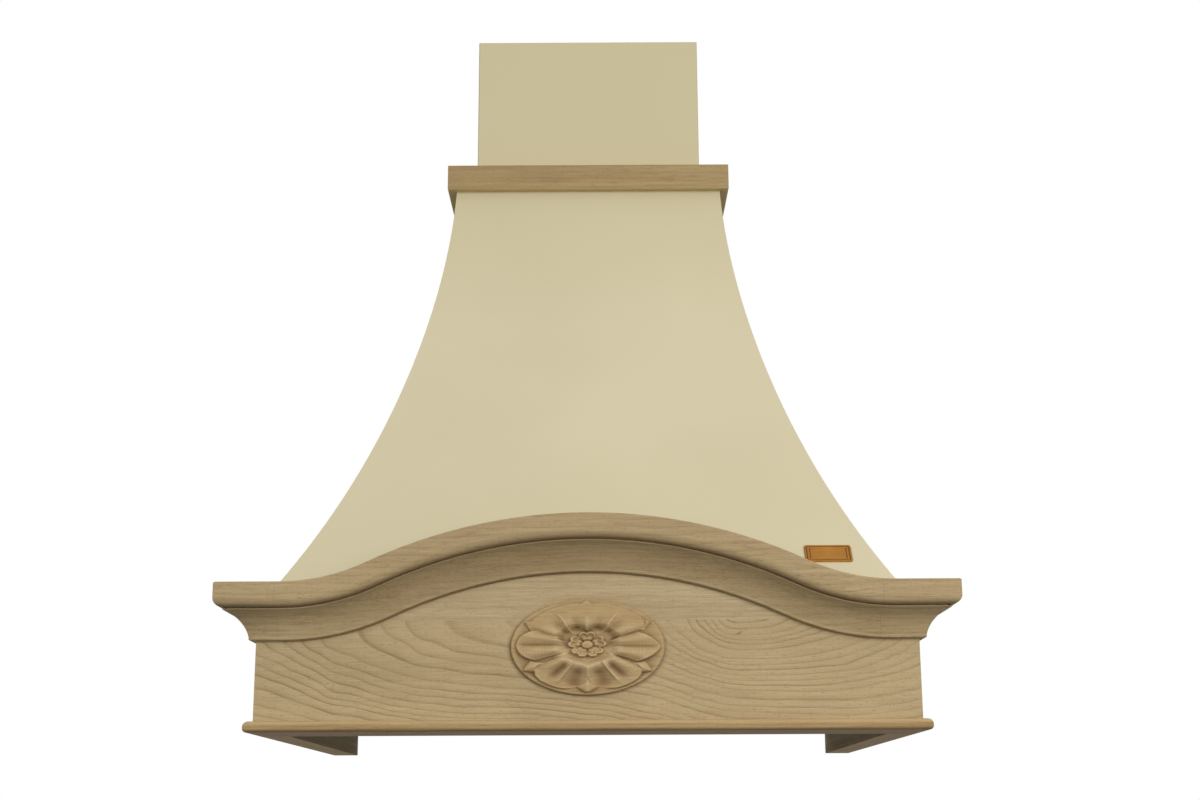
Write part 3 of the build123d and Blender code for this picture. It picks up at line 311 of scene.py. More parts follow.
def brushed(name, colour, along="x", rough=(0.26, 0.40), metallic=1.0, strength=0.08):
    """Drawn or brushed metal, with fine lines one way."""
    m = Tree(name)
    x, y, z = m.sep(m.P)
    k = {"x": (30.0, 1800.0, 1800.0), "y": (1800.0, 30.0, 1800.0), "z": (1800.0, 1800.0, 30.0)}[along]
    lines = m.noise(m.scaled(m.P, *k), 1.0, 3.0, 0.6)
    stain = m.noise(m.P, 22.0, 4.0, 0.6)
    r, g, b = colour
    col = m.ramp(lines, [(0.25, lin(r - 14, g - 14, b - 14)), (0.75, lin(min(r + 10, 255), min(g + 10, 255), min(b + 10, 255)))])
    col = m.mix(m.span(stain, 0.5, 0.8, 0.0, 0.22), col, lin(r - 30, g - 30, b - 30))
    rr = m.span(lines, 0.25, 0.75, *rough)
    return m.finish(col, rr, m.bump(lines, strength, 0.0003), Metallic=metallic)


def plastic(name, colour, rough=(0.42, 0.56), grain=900.0, strength=0.10, spread=5):
    """Moulded plastic with a fine spark-eroded grain."""
    m = Tree(name)
    n1 = m.noise(m.P, grain, 2.0, 0.5)
    n2 = m.noise(m.P, 26.0, 3.0, 0.55)
    r, g, b = colour
    col = m.ramp(n2, [(0.3, lin(max(r - spread, 0), max(g - spread, 0), max(b - spread, 0))), (0.7, lin(r + spread, g + spread, b + spread))])
    rr = m.span(n2, 0.3, 0.7, *rough)
    return m.finish(col, rr, m.bump(n1, strength, 0.0003), Specular_IOR_Level=0.45)


def chrome(name):
    m = Tree(name)
    n = m.noise(m.P, 40.0, 4.0, 0.6)
    col = m.ramp(n, [(0.3, lin(196, 199, 203)), (0.7, lin(222, 224, 226))])
    rr = m.span(m.noise(m.P, 300.0, 3.0, 0.6), 0.3, 0.7, 0.07, 0.16)
    return m.finish(col, rr, m.bump(n, 0.02, 0.0003), Metallic=1.0)


def frosted(name):
    """The lamps' etched cover glass."""
    m = Tree(name)
    n = m.noise(m.P, 1400.0, 2.0, 0.5)
    cloudy = m.noise(m.P, 30.0, 3.0, 0.5)
    col = m.ramp(cloudy, [(0.3, lin(236, 238, 235)), (0.7, lin(246, 247, 244))])
    rr = m.span(n, 0.3, 0.7, 0.22, 0.36)
    return m.finish(col, rr, m.bump(n, 0.12, 0.0002), Transmission_Weight=0.15, IOR=1.5)


def brass(name, mid, lean):
    """The plate's gold-coloured brass, lightly brushed. What lies below the face inside the edge, and the two upright lines, is filled with dark enamel."""
    m = Tree(name)
    x, y, z = m.sep(m.P)
    c, s_ = lean
    du, dy, dz = (m.math("MULTIPLY", m.math("SUBTRACT", v, w / 1000), 1000.0) for v, w in zip((x, y, z), mid))
    up_ = m.math("ADD", m.math("MULTIPLY", dy, s_), m.math("MULTIPLY", dz, c))
    proud = m.math("SUBTRACT", m.math("MULTIPLY", dz, s_), m.math("MULTIPLY", dy, c))
    lines = m.noise(m.scaled(m.P, 60.0, 900.0, 2600.0), 1.0, 3.0, 0.6)
    tarn = m.noise(m.P, 60.0, 3.0, 0.5)
    col = m.ramp(lines, [(0.2, lin(156, 104, 34)), (0.8, lin(190, 134, 56))])
    col = m.mix(m.span(tarn, 0.45, 0.75, 0.0, 0.35), col, lin(136, 86, 26))
    # painted sheen: the face is lighter half-way along and darker towards its ends
    col = m.mix(m.span(m.math("ABSOLUTE", du), 2.0, 19.0, 0.0, 0.35), col, lin(134, 84, 26))
    inside = m.math("MULTIPLY", m.span(m.math("ABSOLUTE", du), 18.9, 19.0, 1.0, 0.0), m.span(m.math("ABSOLUTE", up_), 9.4, 9.5, 1.0, 0.0))
    sunk = m.math("MULTIPLY", inside, m.span(proud, 0.24, 0.40, 1.0, 0.0))
    bar = m.span(m.math("ABSOLUTE", m.math("SUBTRACT", m.math("ABSOLUTE", du), 15.4)), 0.36, 0.44, 1.0, 0.0)
    bar = m.math("MULTIPLY", bar, m.span(m.math("ABSOLUTE", up_), 6.55, 6.65, 1.0, 0.0))
    fill = m.math("MAXIMUM", sunk, bar)
    col = m.mix(m.math("MULTIPLY", fill, 0.85), col, lin(74, 44, 14))
    rr = m.math("ADD", m.span(tarn, 0.3, 0.7, 0.30, 0.42), m.math("MULTIPLY", fill, 0.2))
    return m.finish(col, rr, m.bump(lines, 0.05, 0.0002), Metallic=0.70)


def painted_rosette_shadow(m, s, t, col, linec):
    """Painted shadow on the board close round the rosette, most of it below and at the left."""
    u, v = m.math("DIVIDE", s, 62.4), m.math("DIVIDE", m.math("ADD", t, 172.6), 38.7)
    out = m.math("SQRT", m.math("ADD", m.math("MULTIPLY", u, u), m.math("MULTIPLY", v, v)))
    side = m.span(m.math("ADD", m.math("MULTIPLY", u, 0.45), v), -0.9, 1.0, 1.0, 0.15)
    return m.mix(m.math("MULTIPLY", m.span(out, 1.0, 1.07, 0.62, 0.0), side), col, lin(112, 88, 56))


def knot_and_rosette_shadow(m, s, t, col, linec):
    """The painted shadow close round the rosette, and the one small slanting fleck in the lower board, right of the
    rosette.
    """
    col = painted_rosette_shadow(m, s, t, col, linec)
    along = m.math("ADD", m.math("SUBTRACT", s, 123.0), m.math("MULTIPLY", m.math("SUBTRACT", t, -162.0), 0.9))
    over = m.math("SUBTRACT", m.math("SUBTRACT", t, -162.0), m.math("MULTIPLY", m.math("SUBTRACT", s, 123.0), 0.45))
    r2 = m.math("ADD", m.math("POWER", m.math("DIVIDE", along, 5.0), 2.0), m.math("POWER", m.math("DIVIDE", over, 1.2), 2.0))
    return m.mix(m.span(r2, 0.1, 1.0, 0.62, 0.0), col, lin(112, 84, 52))


def painted_inner_shade(m, s, t, col, linec):
    """Painted shade: the inner faces of the frame are made greyer and darker than the outside."""
    x = m.math("ABSOLUTE", m.math("MULTIPLY", m.sep(m.P)[0], 1000.0))
    return m.mix(m.span(x, 249.8, 250.6, 0.30, 0.0), col, lin(92, 84, 70))


def butt_joints_and_painted_shade(m, s, t, col, linec):
    """Hairlines where the straight ends of the cornice are butted on to the arch, whose crown is a little darker.
    Painted shade lies under the rounding and at the foot of the hollow.
    """
    for at, amount in ((-251.0, 0.14), (237.0, 0.24)):
        off = m.math("ABSOLUTE", m.math("SUBTRACT", s, at))
        col = m.mix(m.span(off, 0.15, 0.6, amount, 0.0), col, linec)
    y = m.math("MULTIPLY", m.sep(m.P)[1], 1000.0)
    crown = m.span(m.math("ABSOLUTE", m.math("ADD", s, 10.0)), 90.0, 230.0, 1.0, 0.0)
    col = m.mix(m.math("MULTIPLY", crown, 0.13), col, linec)
    # painted shade under the fillet's rounding, and at the foot of the hollow about the crown
    under = m.math("MULTIPLY", m.span(y, -498.8, -496.0, 0.0, 0.50), m.span(y, -493.4, -491.0, 1.0, 0.0))
    col = m.mix(under, col, lin(100, 77, 48))
    return m.mix(m.math("MULTIPLY", m.span(y, -487.0, -477.0, 0.0, 0.22), crown), col, lin(104, 80, 50))


def painted_collar_bounce(m, s, t, col, linec):
    """Painted light: the underside of the collar is made paler than its faces, as light thrown up from the canopy would
    make it.
    """
    return m.mix(m.span(t, COLLAR_LOW + 0.25, COLLAR_LOW + 0.5, 0.42, 0.0), col, lin(236, 214, 160))


def painted_rail_light_and_shade(m, s, t, col, linec):
    """Painted light and shade: the upper rounding of the rail is painted pale as if lit, the lower one darker as if in
    shade.
    """
    col = m.mix(m.span(t, RAIL_TOP - 3.8, RAIL_TOP - 1.4, 0.0, 0.32), col, lin(222, 198, 154))
    low = m.math("MULTIPLY", m.span(t, RAIL_LOW + 2.6, RAIL_LOW + 0.5, 0.0, 0.60), m.span(t, RAIL_LOW + 0.1, RAIL_LOW + 0.3, 0.45, 1.0))
    return m.mix(low, col, lin(74, 56, 34))


box = [(nodes["rail_front"].matrix_world @ v.co).z * 1000 for v in nodes["rail_front"].data.vertices]
RAIL_LOW, RAIL_TOP = min(box), max(box)     # mm
COLLAR_LOW = min((nodes["collar_front"].matrix_world @ v.co).z for v in nodes["collar_front"].data.vertices) * 1000     # mm
PC, PS = 0.7678, 0.6407                    # the plate's lean: it lies on the flare
box = [nodes["name_plate"].matrix_world @ v.co for v in nodes["name_plate"].data.vertices]
p_mid = [0.5 * (min(q[i] for q in box) + max(q[i] for q in box)) * 1000 for i in range(3)]

BEECH = dict(light=(186, 166, 127), dark=(144, 122, 85), line=(116, 89, 53))
# the upper board's beech is a lighter copy of the rest: painted light, to offset the shade under the cornice
UPPER = dict(light=(193, 174, 137), dark=(151, 130, 94), line=(120, 94, 58))
RINGS = ((0, 0), (20, 14), (40, 26), (61, 36), (95, 43.5), (130, 49.5), (165, 54), (195, 57.5), (236, 62), (267, 66.5), (305, 74.5), (340, 82), (400, 95))
mats = {
    "board_lower": wood("beech_flat_sawn", centre=(124.0, -144.0), right=3.5, pitch=4.4, lines=0.66, warp=1.5, bands=0.25, seed=1.3, fleck=1.0, vein=0.06, fibres=0.40, bend=RINGS, extra=knot_and_rosette_shadow, **BEECH),
    "board_upper": wood("beech_straight", centre=(60.0, 900.0), left=60.0, right=70.0, pitch=5.2, lines=0.22, warp=1.6, bands=0.6, seed=4.1, fleck=0.80, vein=0.26, extra=painted_rosette_shadow, **UPPER),
    "cornice": wood("beech_cornice", centre=(-420.0, 40.0), left=16.0, right=16.0, pitch=6.1, lines=0.36, warp=3.0, bands=0.50, seed=7.7, fleck=1.0, vein=0.40, extra=butt_joints_and_painted_shade, **BEECH),
    "rail": wood("beech_rail", centre=(0.0, 500.0), left=60.0, right=60.0, pitch=3.6, lines=0.34, warp=2.0, bands=0.9, seed=2.2, fleck=0.8, extra=painted_rail_light_and_shade,
                 light=(177, 152, 106), dark=(146, 118, 77), line=(100, 73, 40)),
    "collar": wood("beech_collar", centre=(40.0, 900.0), left=60.0, right=60.0, pitch=4.6, lines=0.24, warp=2.2, bands=0.9, seed=9.4, fleck=0.9, extra=painted_collar_bounce,
                   light=(176, 152, 110), dark=(146, 122, 82), line=(102, 78, 47)),
    "side": wood("beech_side", along="y", centre=(-230.0, -130.0), left=4.5, right=5.5, pitch=7.8, lines=0.5, warp=2.0, bands=0.5, seed=5.5, extra=painted_inner_shade, **BEECH),
    "side_moulding": wood("beech_side_moulding", along="y", centre=(300.0, 400.0), left=22.0, right=22.0, pitch=5.6, lines=0.28, warp=2.5, bands=0.7, seed=3.6, **BEECH),
    "side_rail": wood("beech_side_rail", along="y", centre=(0.0, 500.0), left=60.0, right=60.0, pitch=3.8, lines=0.34, warp=2.0, bands=0.9, seed=8.8, extra=painted_inner_shade,
                      light=(177, 152, 106), dark=(146, 118, 77), line=(100, 73, 40)),
    "side_collar": wood("beech_side_collar", along="y", centre=(40.0, 900.0), left=60.0, right=60.0, pitch=4.6, lines=0.24, warp=2.2, bands=0.9, seed=6.1, extra=painted_collar_bounce,
                        light=(176, 152, 110), dark=(146, 122, 82), line=(102, 78, 47)),
    "rosette": wood("beech_carved", centre=(0.0, 500.0), left=40.0, right=40.0, pitch=3.4, lines=0.26, warp=1.2, bands=0.8, seed=0.4, fleck=0.6, painted_cavity_shade="painted_cavity_shade",
                    light=(183, 160, 118), dark=(158, 131, 89), line=(124, 93, 57)),
    "inner_wood": wood("beech_inner", centre=(0.0, 700.0), left=40.0, right=40.0, pitch=6.0, lines=0.3, warp=2.0, bands=0.7, seed=12.0, **BEECH),
    "cream": painted("cream_paint_satin", (200, 191, 160), foot_shade_and_top_tint=True),
    "grey": painted("grey_paint_satin", (176, 178, 177), spread=3),
    "zinc": zinc("galvanised_sheet"),
    "aluminium": brushed("aluminium_brushed", (196, 198, 200), along="x"),
    "mesh": brushed("aluminium_mesh", (178, 181, 184), along="y", rough=(0.42, 0.58)),
    "chrome": chrome("lamp_chrome_ring"),
    "glass": frosted("lamp_glass_etched"),
    "lamp_body": plastic("lamp_body_white", (214, 214, 208)),
    "magnet": brushed("ferrite_magnet", (70, 70, 72), along="z", rough=(0.5, 0.7), metallic=0.3),
    "dark": plastic("dark_plastic_matt", (44, 45, 48)),
    "button": plastic("button_plastic_satin", (58, 59, 62), rough=(0.34, 0.46)),
    "brass": brass("brass_plate_toned", p_mid, (PC, PS)),
    "fan": plastic("fan_plastic_grey", (96, 100, 102)),
    "steel": brushed("bright_steel", (188, 190, 193), along="x", rough=(0.22, 0.36)),
    "motor": painted("motor_case_paint", (92, 96, 100), spread=5, rough=(0.36, 0.5), peel=0.08),
    "flap": plastic("flap_plastic_black", (38, 38, 40)),
}

FINISH = {
    "front_board_lower": "board_lower", "front_board_upper": "board_upper", "cornice_front": "cornice", "rail_front": "rail",
    "collar_front": "collar", "rosette": "rosette", "left_board": "side", "right_board": "side",
    "cornice_left": "side_moulding", "cornice_right": "side_moulding", "rail_left": "side_rail", "rail_right": "side_rail",
    "collar_left": "side_collar", "collar_right": "side_collar", "corner_blocks": "inner_wood", "rear_batten": "inner_wood",
}
BY_SLOT = {
    "cream_paint": "cream", "zinc_sheet": "zinc", "grey_paint": "grey", "filter_aluminium": "aluminium", "filter_mesh": "mesh",
    "lamp_chrome": "chrome", "lamp_glass": "glass", "lamp_body": "lamp_body", "magnet": "magnet", "dark_plastic": "dark",
    "button_plastic": "button", "brass_plate": "brass", "fan_plastic": "fan", "bright_steel": "steel", "motor_case": "motor",
    "flap_plastic": "flap", "beech": "inner_wood",
}
EASED = {"front_board_lower": 0.5, "front_board_upper": 0.5, "left_board": 0.8, "right_board": 0.8, "cornice_front": 0.2, "cornice_left": 0.2,
         "cornice_right": 0.2, "rail_front": 0.6, "rail_left": 0.6, "rail_right": 0.6, "collar_front": 0.35, "collar_left": 0.35, "collar_right": 0.35,
         "corner_blocks": 1.0, "rear_batten": 1.0}
for n, o in nodes.items():
    slot = o.data.materials[0].name if o.data.materials else "zinc_sheet"
    key = FINISH.get(n) or BY_SLOT[slot]
    for i in range(len(o.material_slots)):
        o.material_slots[i].link = "OBJECT"
        o.material_slots[i].material = mats[key]
    if n in EASED:   # the arris that sanding leaves on a wooden edge
        w = o.modifiers.new("weld", "WELD")
        w.merge_threshold = 2e-5
        b = o.modifiers.new("arris", "BEVEL")
        b.width = EASED[n] / 1000
        b.segments = 2
        b.limit_method = "ANGLE"
        b.angle_limit = math.radians(38)
        b.use_clamp_overlap = True
        b.harden_normals = True


# ---------------------------------------------------------------- helpers for new pieces
def mesh_piece(name, verts, faces, material, body, smooth=True):
    me = bpy.data.meshes.new(name)
    me.from_pydata([tuple(v) for v in verts], [], [tuple(f) for f in faces])
    me.validate()
    me.update()
    if smooth:
        me.polygons.foreach_set("use_smooth", [True] * len(me.polygons))
    o = bpy.data.objects.new(name, me)
    scene.collection.objects.link(o)
    me.materials.append(mats[material])
    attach(o, body)
    return o


# ---------------------------------------------------------------- the carved rosette
def sm(a, b, x):
    t = np.clip((x - a) / (b - a), 0.0, 1.0)
    return t * t * (3 - 2 * t)


RA, RB, RH = 62.4, 38.7, 67.4 - 240.0       # half axes and height of the centre, mm
NR, NT = 170, 720
rr = np.concatenate([np.linspace(0.0, 0.93, 140), np.linspace(0.93, 1.0, NR - 140 + 1)[1:]])
tt = np.linspace(0.0, 2 * np.pi, NT, endpoint=False)
R, T = np.meshgrid(rr, tt, indexing="ij")


def petal_field(R, T):
    """Height in mm of the carving over the board, at R (0 centre, 1 rim) and angle T on the oval."""
    ground = 3.2 + 0.3 * sm(1.0, 0.90, R)
    best = ground + 2.4 * sm(0.86, 0.52, R)      # the ground rises towards the middle, so the gaps between petals are shallow
    best = best + 1.6 * np.exp(-((T - 1.5 * np.pi) / 0.17) ** 2) * sm(0.86, 0.76, R) * sm(0.55, 0.66, R)      # and behind the lowest leaf
    # six small spade leaves show between the petals, each with a sharp middle ridge
    for turn_by, root, belly, tip, wide, tall in ((33.0, 0.66, 0.790, 0.985, 0.135, 2.4), (91.0, 0.76, 0.855, 0.985, 0.110, 0.8), (148.0, 0.66, 0.790, 0.980, 0.135, 2.2),
                                                  (211.0, 0.64, 0.790, 0.985, 0.150, 3.2), (269.5, 0.69, 0.835, 0.968, 0.155, 3.4), (328.0, 0.64, 0.790, 0.985, 0.150, 3.2)):
        da = (T - np.radians(turn_by) + np.pi) % (2 * np.pi) - np.pi
        across, out = R * np.sin(da), R * np.cos(da)
        half = wide * np.where(out < belly, np.clip((out - root) / (belly - root), 0, 1) ** 1.3, np.clip((tip - out) / (tip - belly), 0, 1) ** 0.80) + 1e-6
        u = np.abs(across) / half
        leaf = ground + 0.9 + tall * np.clip(1 - u, 0, 1) ** 0.8 * sm(tip, tip - 0.040, out) + 0.5 * sm(1.0, 0.6, u)
        inside = (u < 1.0) & (out > root) & (np.abs(da) < 0.7)
        best = np.where(inside, np.maximum(best, ground - 0.3 + (leaf - ground + 0.3) * sm(1.0, 0.86, u)), best)
    floor = best.copy()
    over, under = np.zeros_like(R), np.zeros_like(R)
    # the two petals at the sides: narrow, folded along the middle
    for at_deg, reach, point in ((-1.0, 0.960, 0.85), (178.0, 0.945, 0.25)):
        da = (T - np.radians(at_deg) + np.pi) % (2 * np.pi) - np.pi
        t = da / np.radians(26.0)
        a = np.abs(t)
        edge = reach - (1 - point) * 0.20 * np.clip(a, 0, 1.2) ** 3.0 - point * 0.25 * np.clip(a, 0, 1.2) ** 1.2
        into = edge - R
        crest = 0.36
        body = 2.0 + 7.4 * sm(crest - 0.14, crest + 0.08, R) - 3.0 * sm(0.46, 0.92, R)
        body = body + 2.2 * np.exp(-((a - 0.52) / 0.30) ** 2) * sm(0.32, 0.46, R) * sm(0.97, 0.74, R)
        body = body - 1.5 * np.exp(-(a / 0.10) ** 1.3) * sm(0.26, 0.40, R) * sm(0.98, 0.84, R)
        body = body - 1.6 * sm(0.66, 1.04, a) * sm(0.25, 0.42, R)
        body = body + 0.3 * np.exp(-((into - 0.03) / 0.022) ** 2)
        rise = (body - floor) * sm(0.0, 0.020, into) * sm(1.05, 0.93, a)
        over, under = np.maximum(over, rise), np.minimum(under, rise)
    # the four others: a rib, a hollow on each side of it, and a full lobe next to the side petal
    for at_deg, rib_in, reach, low in ((60.5, -3.0, 0.945, 0), (120.5, 5.0, 0.935, 0), (242.0, 0.0, 0.955, 1), (298.5, 0.0, 0.955, 1)):
        towards_side = 1.0 if np.cos(np.radians(at_deg)) * np.sin(np.radians(at_deg)) < 0 else -1.0   # sign of t on the side petal's side
        bend = np.radians(rib_in) * sm(0.75, 0.25, R)
        da = (T - np.radians(at_deg) - bend + np.pi) % (2 * np.pi) - np.pi
        t = da / np.radians(31.5 if low else 35.0) * towards_side
        a = np.abs(t)
        edge = reach - (np.where(t > 0, 0.20 * np.clip(a, 0, 1.2) ** 4.0, 0.354 * np.clip(a, 0, 1.2) ** 2.2) if low else 0.12 * np.clip(a, 0, 1.2) ** 4.0)
        into = edge - R
        if low:
            crest = 0.375 + 0.03 * a ** 2
            body = 1.9 + 9.0 * sm(crest - 0.15, crest + 0.02, R) - 4.0 * sm(crest + 0.02, 0.80, R) - 0.6 * sm(0.80, 0.95, R)
            hollow_in = -5.4 * np.exp(-((a - 0.44) / 0.31) ** 2) * sm(crest + 0.00, 0.58, R) * sm(1.0, 0.74, R)
            hollow_out = -3.1 * np.exp(-((a - 0.27) / 0.16) ** 2) * sm(crest + 0.00, 0.52, R) * sm(0.95, 0.66, R)
            bulge = 2.4 * np.exp(-((a - 0.66) / 0.22) ** 2) * sm(0.36, 0.46, R) * sm(0.90, 0.56, R)
        else:
            crest = np.where(t > 0, 0.49, 0.52 - 0.13 * a ** 2)
            body = 1.9 + 7.4 * sm(crest - 0.14, crest + 0.02, R) - 4.7 * sm(crest + 0.04, 0.95, R)
            hollow_in = -3.2 * np.exp(-((a - 0.42) / 0.24) ** 2) * sm(0.34, 0.42, R) * sm(0.74, 0.46, R) + 0.8 * sm(0.70, 1.0, a) * sm(0.26, 0.40, R) * sm(0.80, 0.5, R)
            hollow_out = -3.2 * np.exp(-((a - 0.30) / 0.18) ** 2) * sm(0.34, 0.44, R) * sm(0.80, 0.50, R)
            bulge = 1.6 * np.exp(-((a - 0.68) / 0.22) ** 2) * sm(0.38, 0.50, R) * sm(0.92, 0.62, R)
        roll = -1.8 * sm(0.76, 1.04, a) * sm(0.27, 0.45, R)
        body = body + np.where(t > 0, hollow_out + bulge + roll, hollow_in - (0.5 if low else 0.0) * sm(0.85, 1.04, a))
        rib_from = 0.24 if not low else 0.33
        body = body + (1.9 if not low else 2.8) * np.exp(-a / 0.060) * sm(rib_from, rib_from + 0.10, R) * sm(0.88, 0.66, R)
        body = body + 0.25 * np.exp(-((into - 0.03) / 0.022) ** 2)
        rise = (body - floor) * sm(0.0, 0.020, into) * sm(1.05, 0.93, a)
        over, under = np.maximum(over, rise), np.minimum(under, rise)
    best = floor + over + under
    # a soft ridge stands where the two upper petals meet, and where the two lower ones do
    for at_deg, tall, r0, r1, r2 in ((91.0, 1.6, 0.34, 0.50, 0.72), (270.0, 2.2, 0.34, 0.46, 0.70)):
        da = (T - np.radians(at_deg) + np.pi) % (2 * np.pi) - np.pi
        best = best + tall * np.exp(-(da / 0.14) ** 2) * sm(r0, r1, R) * sm(r2, r1, R)
    # bowl round the small flower
    bowl = sm(0.36, 0.25, R)
    best = best * (1 - bowl) + 2.6 * bowl
    # small flower: five notched petals, cupped, and a button
    # it sits a little high in the bowl and is a little taller than the oval would make it
    fx, fz = R * np.cos(T) + 0.007, (R * np.sin(T) - 0.036) / 1.08
    R0, R, T = R, np.hypot(fx, fz), np.arctan2(fz, fx)
    s = ((T - np.radians(91) + np.radians(36)) % np.radians(72)) / np.radians(36) - 1.0
    b = np.abs(s)
    rf = 0.262 * (1 - 0.30 * b ** 4.0 - 0.12 * np.exp(-(s / 0.20) ** 2))
    inf = rf - R
    fl = 4.8 + 2.6 * sm(0.06, 0.24, R) + 1.2 * np.exp(-((inf - 0.024) / 0.020) ** 2) - 1.9 * np.exp(-((inf - 0.085) / 0.042) ** 2)
    fl = fl - 2.6 * np.exp(-((1 - b) / 0.17) ** 2) * sm(0.07, 0.14, R) + 0.6 * np.exp(-(s / 0.13) ** 2) * sm(0.07, 0.12, R) * sm(0.24, 0.18, R)
    fl = 2.6 + (fl - 2.6) * sm(-0.004, 0.018, inf)
    best = np.where((R < 0.275) & (R0 < 0.40), np.maximum(best, fl), best)
    best = best - 1.7 * np.exp(-((R - 0.083) / 0.016) ** 2)
    dome = np.sqrt(np.clip(1 - (R / 0.073) ** 2, 0, 1))
    best = np.where(R < 0.073, np.maximum(best, 4.4 + 2.8 * dome ** 0.7), best)
    return best


H = petal_field(R, T)
# soften by a fraction of a millimetre, as sanding does
for _ in range(2):
    inner = H.copy()
    inner[1:-1] = 0.5 * H[1:-1] + 0.125 * (H[:-2] + H[2:] + np.roll(H, 1, 1)[1:-1] + np.roll(H, -1, 1)[1:-1])
    H = inner
H[0, :] = H[0].mean()
# gouge marks across the petals, and a rounded rim
H = H + 0.05 * np.sin(R * RA * 2.1 + 2.5 * np.sin(3 * T)) * sm(0.32, 0.5, R) * sm(0.95, 0.85, R)
H = H + 0.09 * np.sin(RA * R * np.cos(T) * 2.7 + 1.5 * np.sin(9 * R)) * sm(0.40, 0.5, R) * sm(0.92, 0.80, R) * sm(0.0, -0.06, R * np.sin(T)) * sm(-0.30, -0.20, R * np.sin(T))
H = H - 1.1 * (1 - np.sqrt(np.clip(1 - np.clip((R - 0.975) / 0.025, 0, 1) ** 2, 0, 1)))
H = np.where(H > 3.2, 3.2 + (H - 3.2) * 0.89, H)      # within the thickness of the blank
H = np.clip(H, 0.8, 11.9)
# painted shade: what lies lower than its surroundings is darker
X = RA * R * np.cos(T)
Z = RB * R * np.sin(T)
blur = H.copy()
for _ in range(60):
    b2 = blur.copy()
    b2[1:-1] = 0.5 * (blur[:-2] + blur[2:])
    b2 = 0.5 * b2 + 0.25 * (np.roll(b2, 2, 1) + np.roll(b2, -2, 1))
    blur = b2
cav = np.clip((blur - H) / 1.8, 0.0, 1.0) * 0.72
up = R * np.sin(T)
foot = sm(0.10, -0.10, up)                                # the painted shade is kept off the lower half of the bowl and deepened in the hollows of the lower petals
cav = cav * (1 - 0.85 * foot * sm(0.46, 0.36, R)) * (1 + 0.3 * sm(0.46, 0.54, R) * sm(-0.30, -0.42, up))
cav = np.clip(cav, 0.0, 0.9)
near = H.copy()
for _ in range(10):
    b2 = near.copy()
    b2[1:-1] = 0.5 * (near[:-2] + near[2:])
    near = 0.5 * b2 + 0.25 * (np.roll(b2, 2, 1) + np.roll(b2, -2, 1))
painted_highlight = np.clip((H - near) / 0.7, 0.0, 1.0) * 0.50 * (0.30 + 0.70 * sm(0.88, 0.76, R))       # and sharp ridges are painted lighter: a painted highlight
# painted highlight on the lower half of the bowl as well
painted_highlight = np.maximum(painted_highlight, 0.34 * sm(0.24, 0.32, R) * sm(0.52, 0.40, R) * foot)
verts, faces = [], []
cav_list, painted_highlight_values = [], []
index = np.zeros((NR, NT), int)
for i in range(NR):
    for j in range(NT):
        if i == 0 and j > 0:
            index[i, j] = index[0, 0]
            continue
        index[i, j] = len(verts)
        verts.append((X[i, j] / 1000, (-469.5 - H[i, j]) / 1000, (RH + Z[i, j]) / 1000))
        cav_list.append(float(cav[i, j]))
        painted_highlight_values.append(float(painted_highlight[i, j]))
for i in range(NR - 1):
    for j in range(NT):
        k = (j + 1) % NT
        if i == 0:
            faces.append((index[0, 0], index[1, j], index[1, k]))
        else:
            faces.append((index[i, j], index[i + 1, j], index[i + 1, k], index[i, k]))
wall = []
for j in range(NT):
    wall.append(len(verts))
    verts.append((X[-1, j] / 1000, -0.4695, (RH + Z[-1, j]) / 1000))
    cav_list.append(0.5)
    painted_highlight_values.append(0.0)
for j in range(NT):
    k = (j + 1) % NT
    faces.append((index[NR - 1, j], wall[j], wall[k], index[NR - 1, k]))
back = len(verts)
verts.append((0.0, -0.4695, RH / 1000))
cav_list.append(0.0)
painted_highlight_values.append(0.0)
for j in range(NT):
    faces.append((wall[j], back, wall[(j + 1) % NT]))
rosette = mesh_piece("rosette_carved", verts, faces, "rosette", "hood")
for label, values in (("painted_cavity_shade", cav_list), ("painted_highlight", painted_highlight_values)):
    att = rosette.data.attributes.new(label, "FLOAT", "POINT")
    att.data.foreach_set("value", np.array(values, np.float32))
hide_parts("rosette")


# ---------------------------------------------------------------- the plate: a plain border, no lettering
def rounded(w, h, r, n=10):
    """Points round a rectangle with round corners, anticlockwise."""
    out = []
    for cx, cy, a0 in ((w / 2 - r, h / 2 - r, 0.0), (-w / 2 + r, h / 2 - r, 90.0), (-w / 2 + r, -h / 2 + r, 180.0), (w / 2 - r, -h / 2 + r, 270.0)):
        for i in range(n + 1):
            a = math.radians(a0 + 90.0 * i / n)
            out.append((cx + r * math.cos(a), cy + r * math.sin(a)))
    return out


def on_plate(u, v, w):
    """A point u along, v up and w proud of the middle of the plate's thickness, in metres."""
    return ((p_mid[0] + u) / 1000, (p_mid[1] + v * PS - w * PC) / 1000, (p_mid[2] + v * PC + w * PS) / 1000)


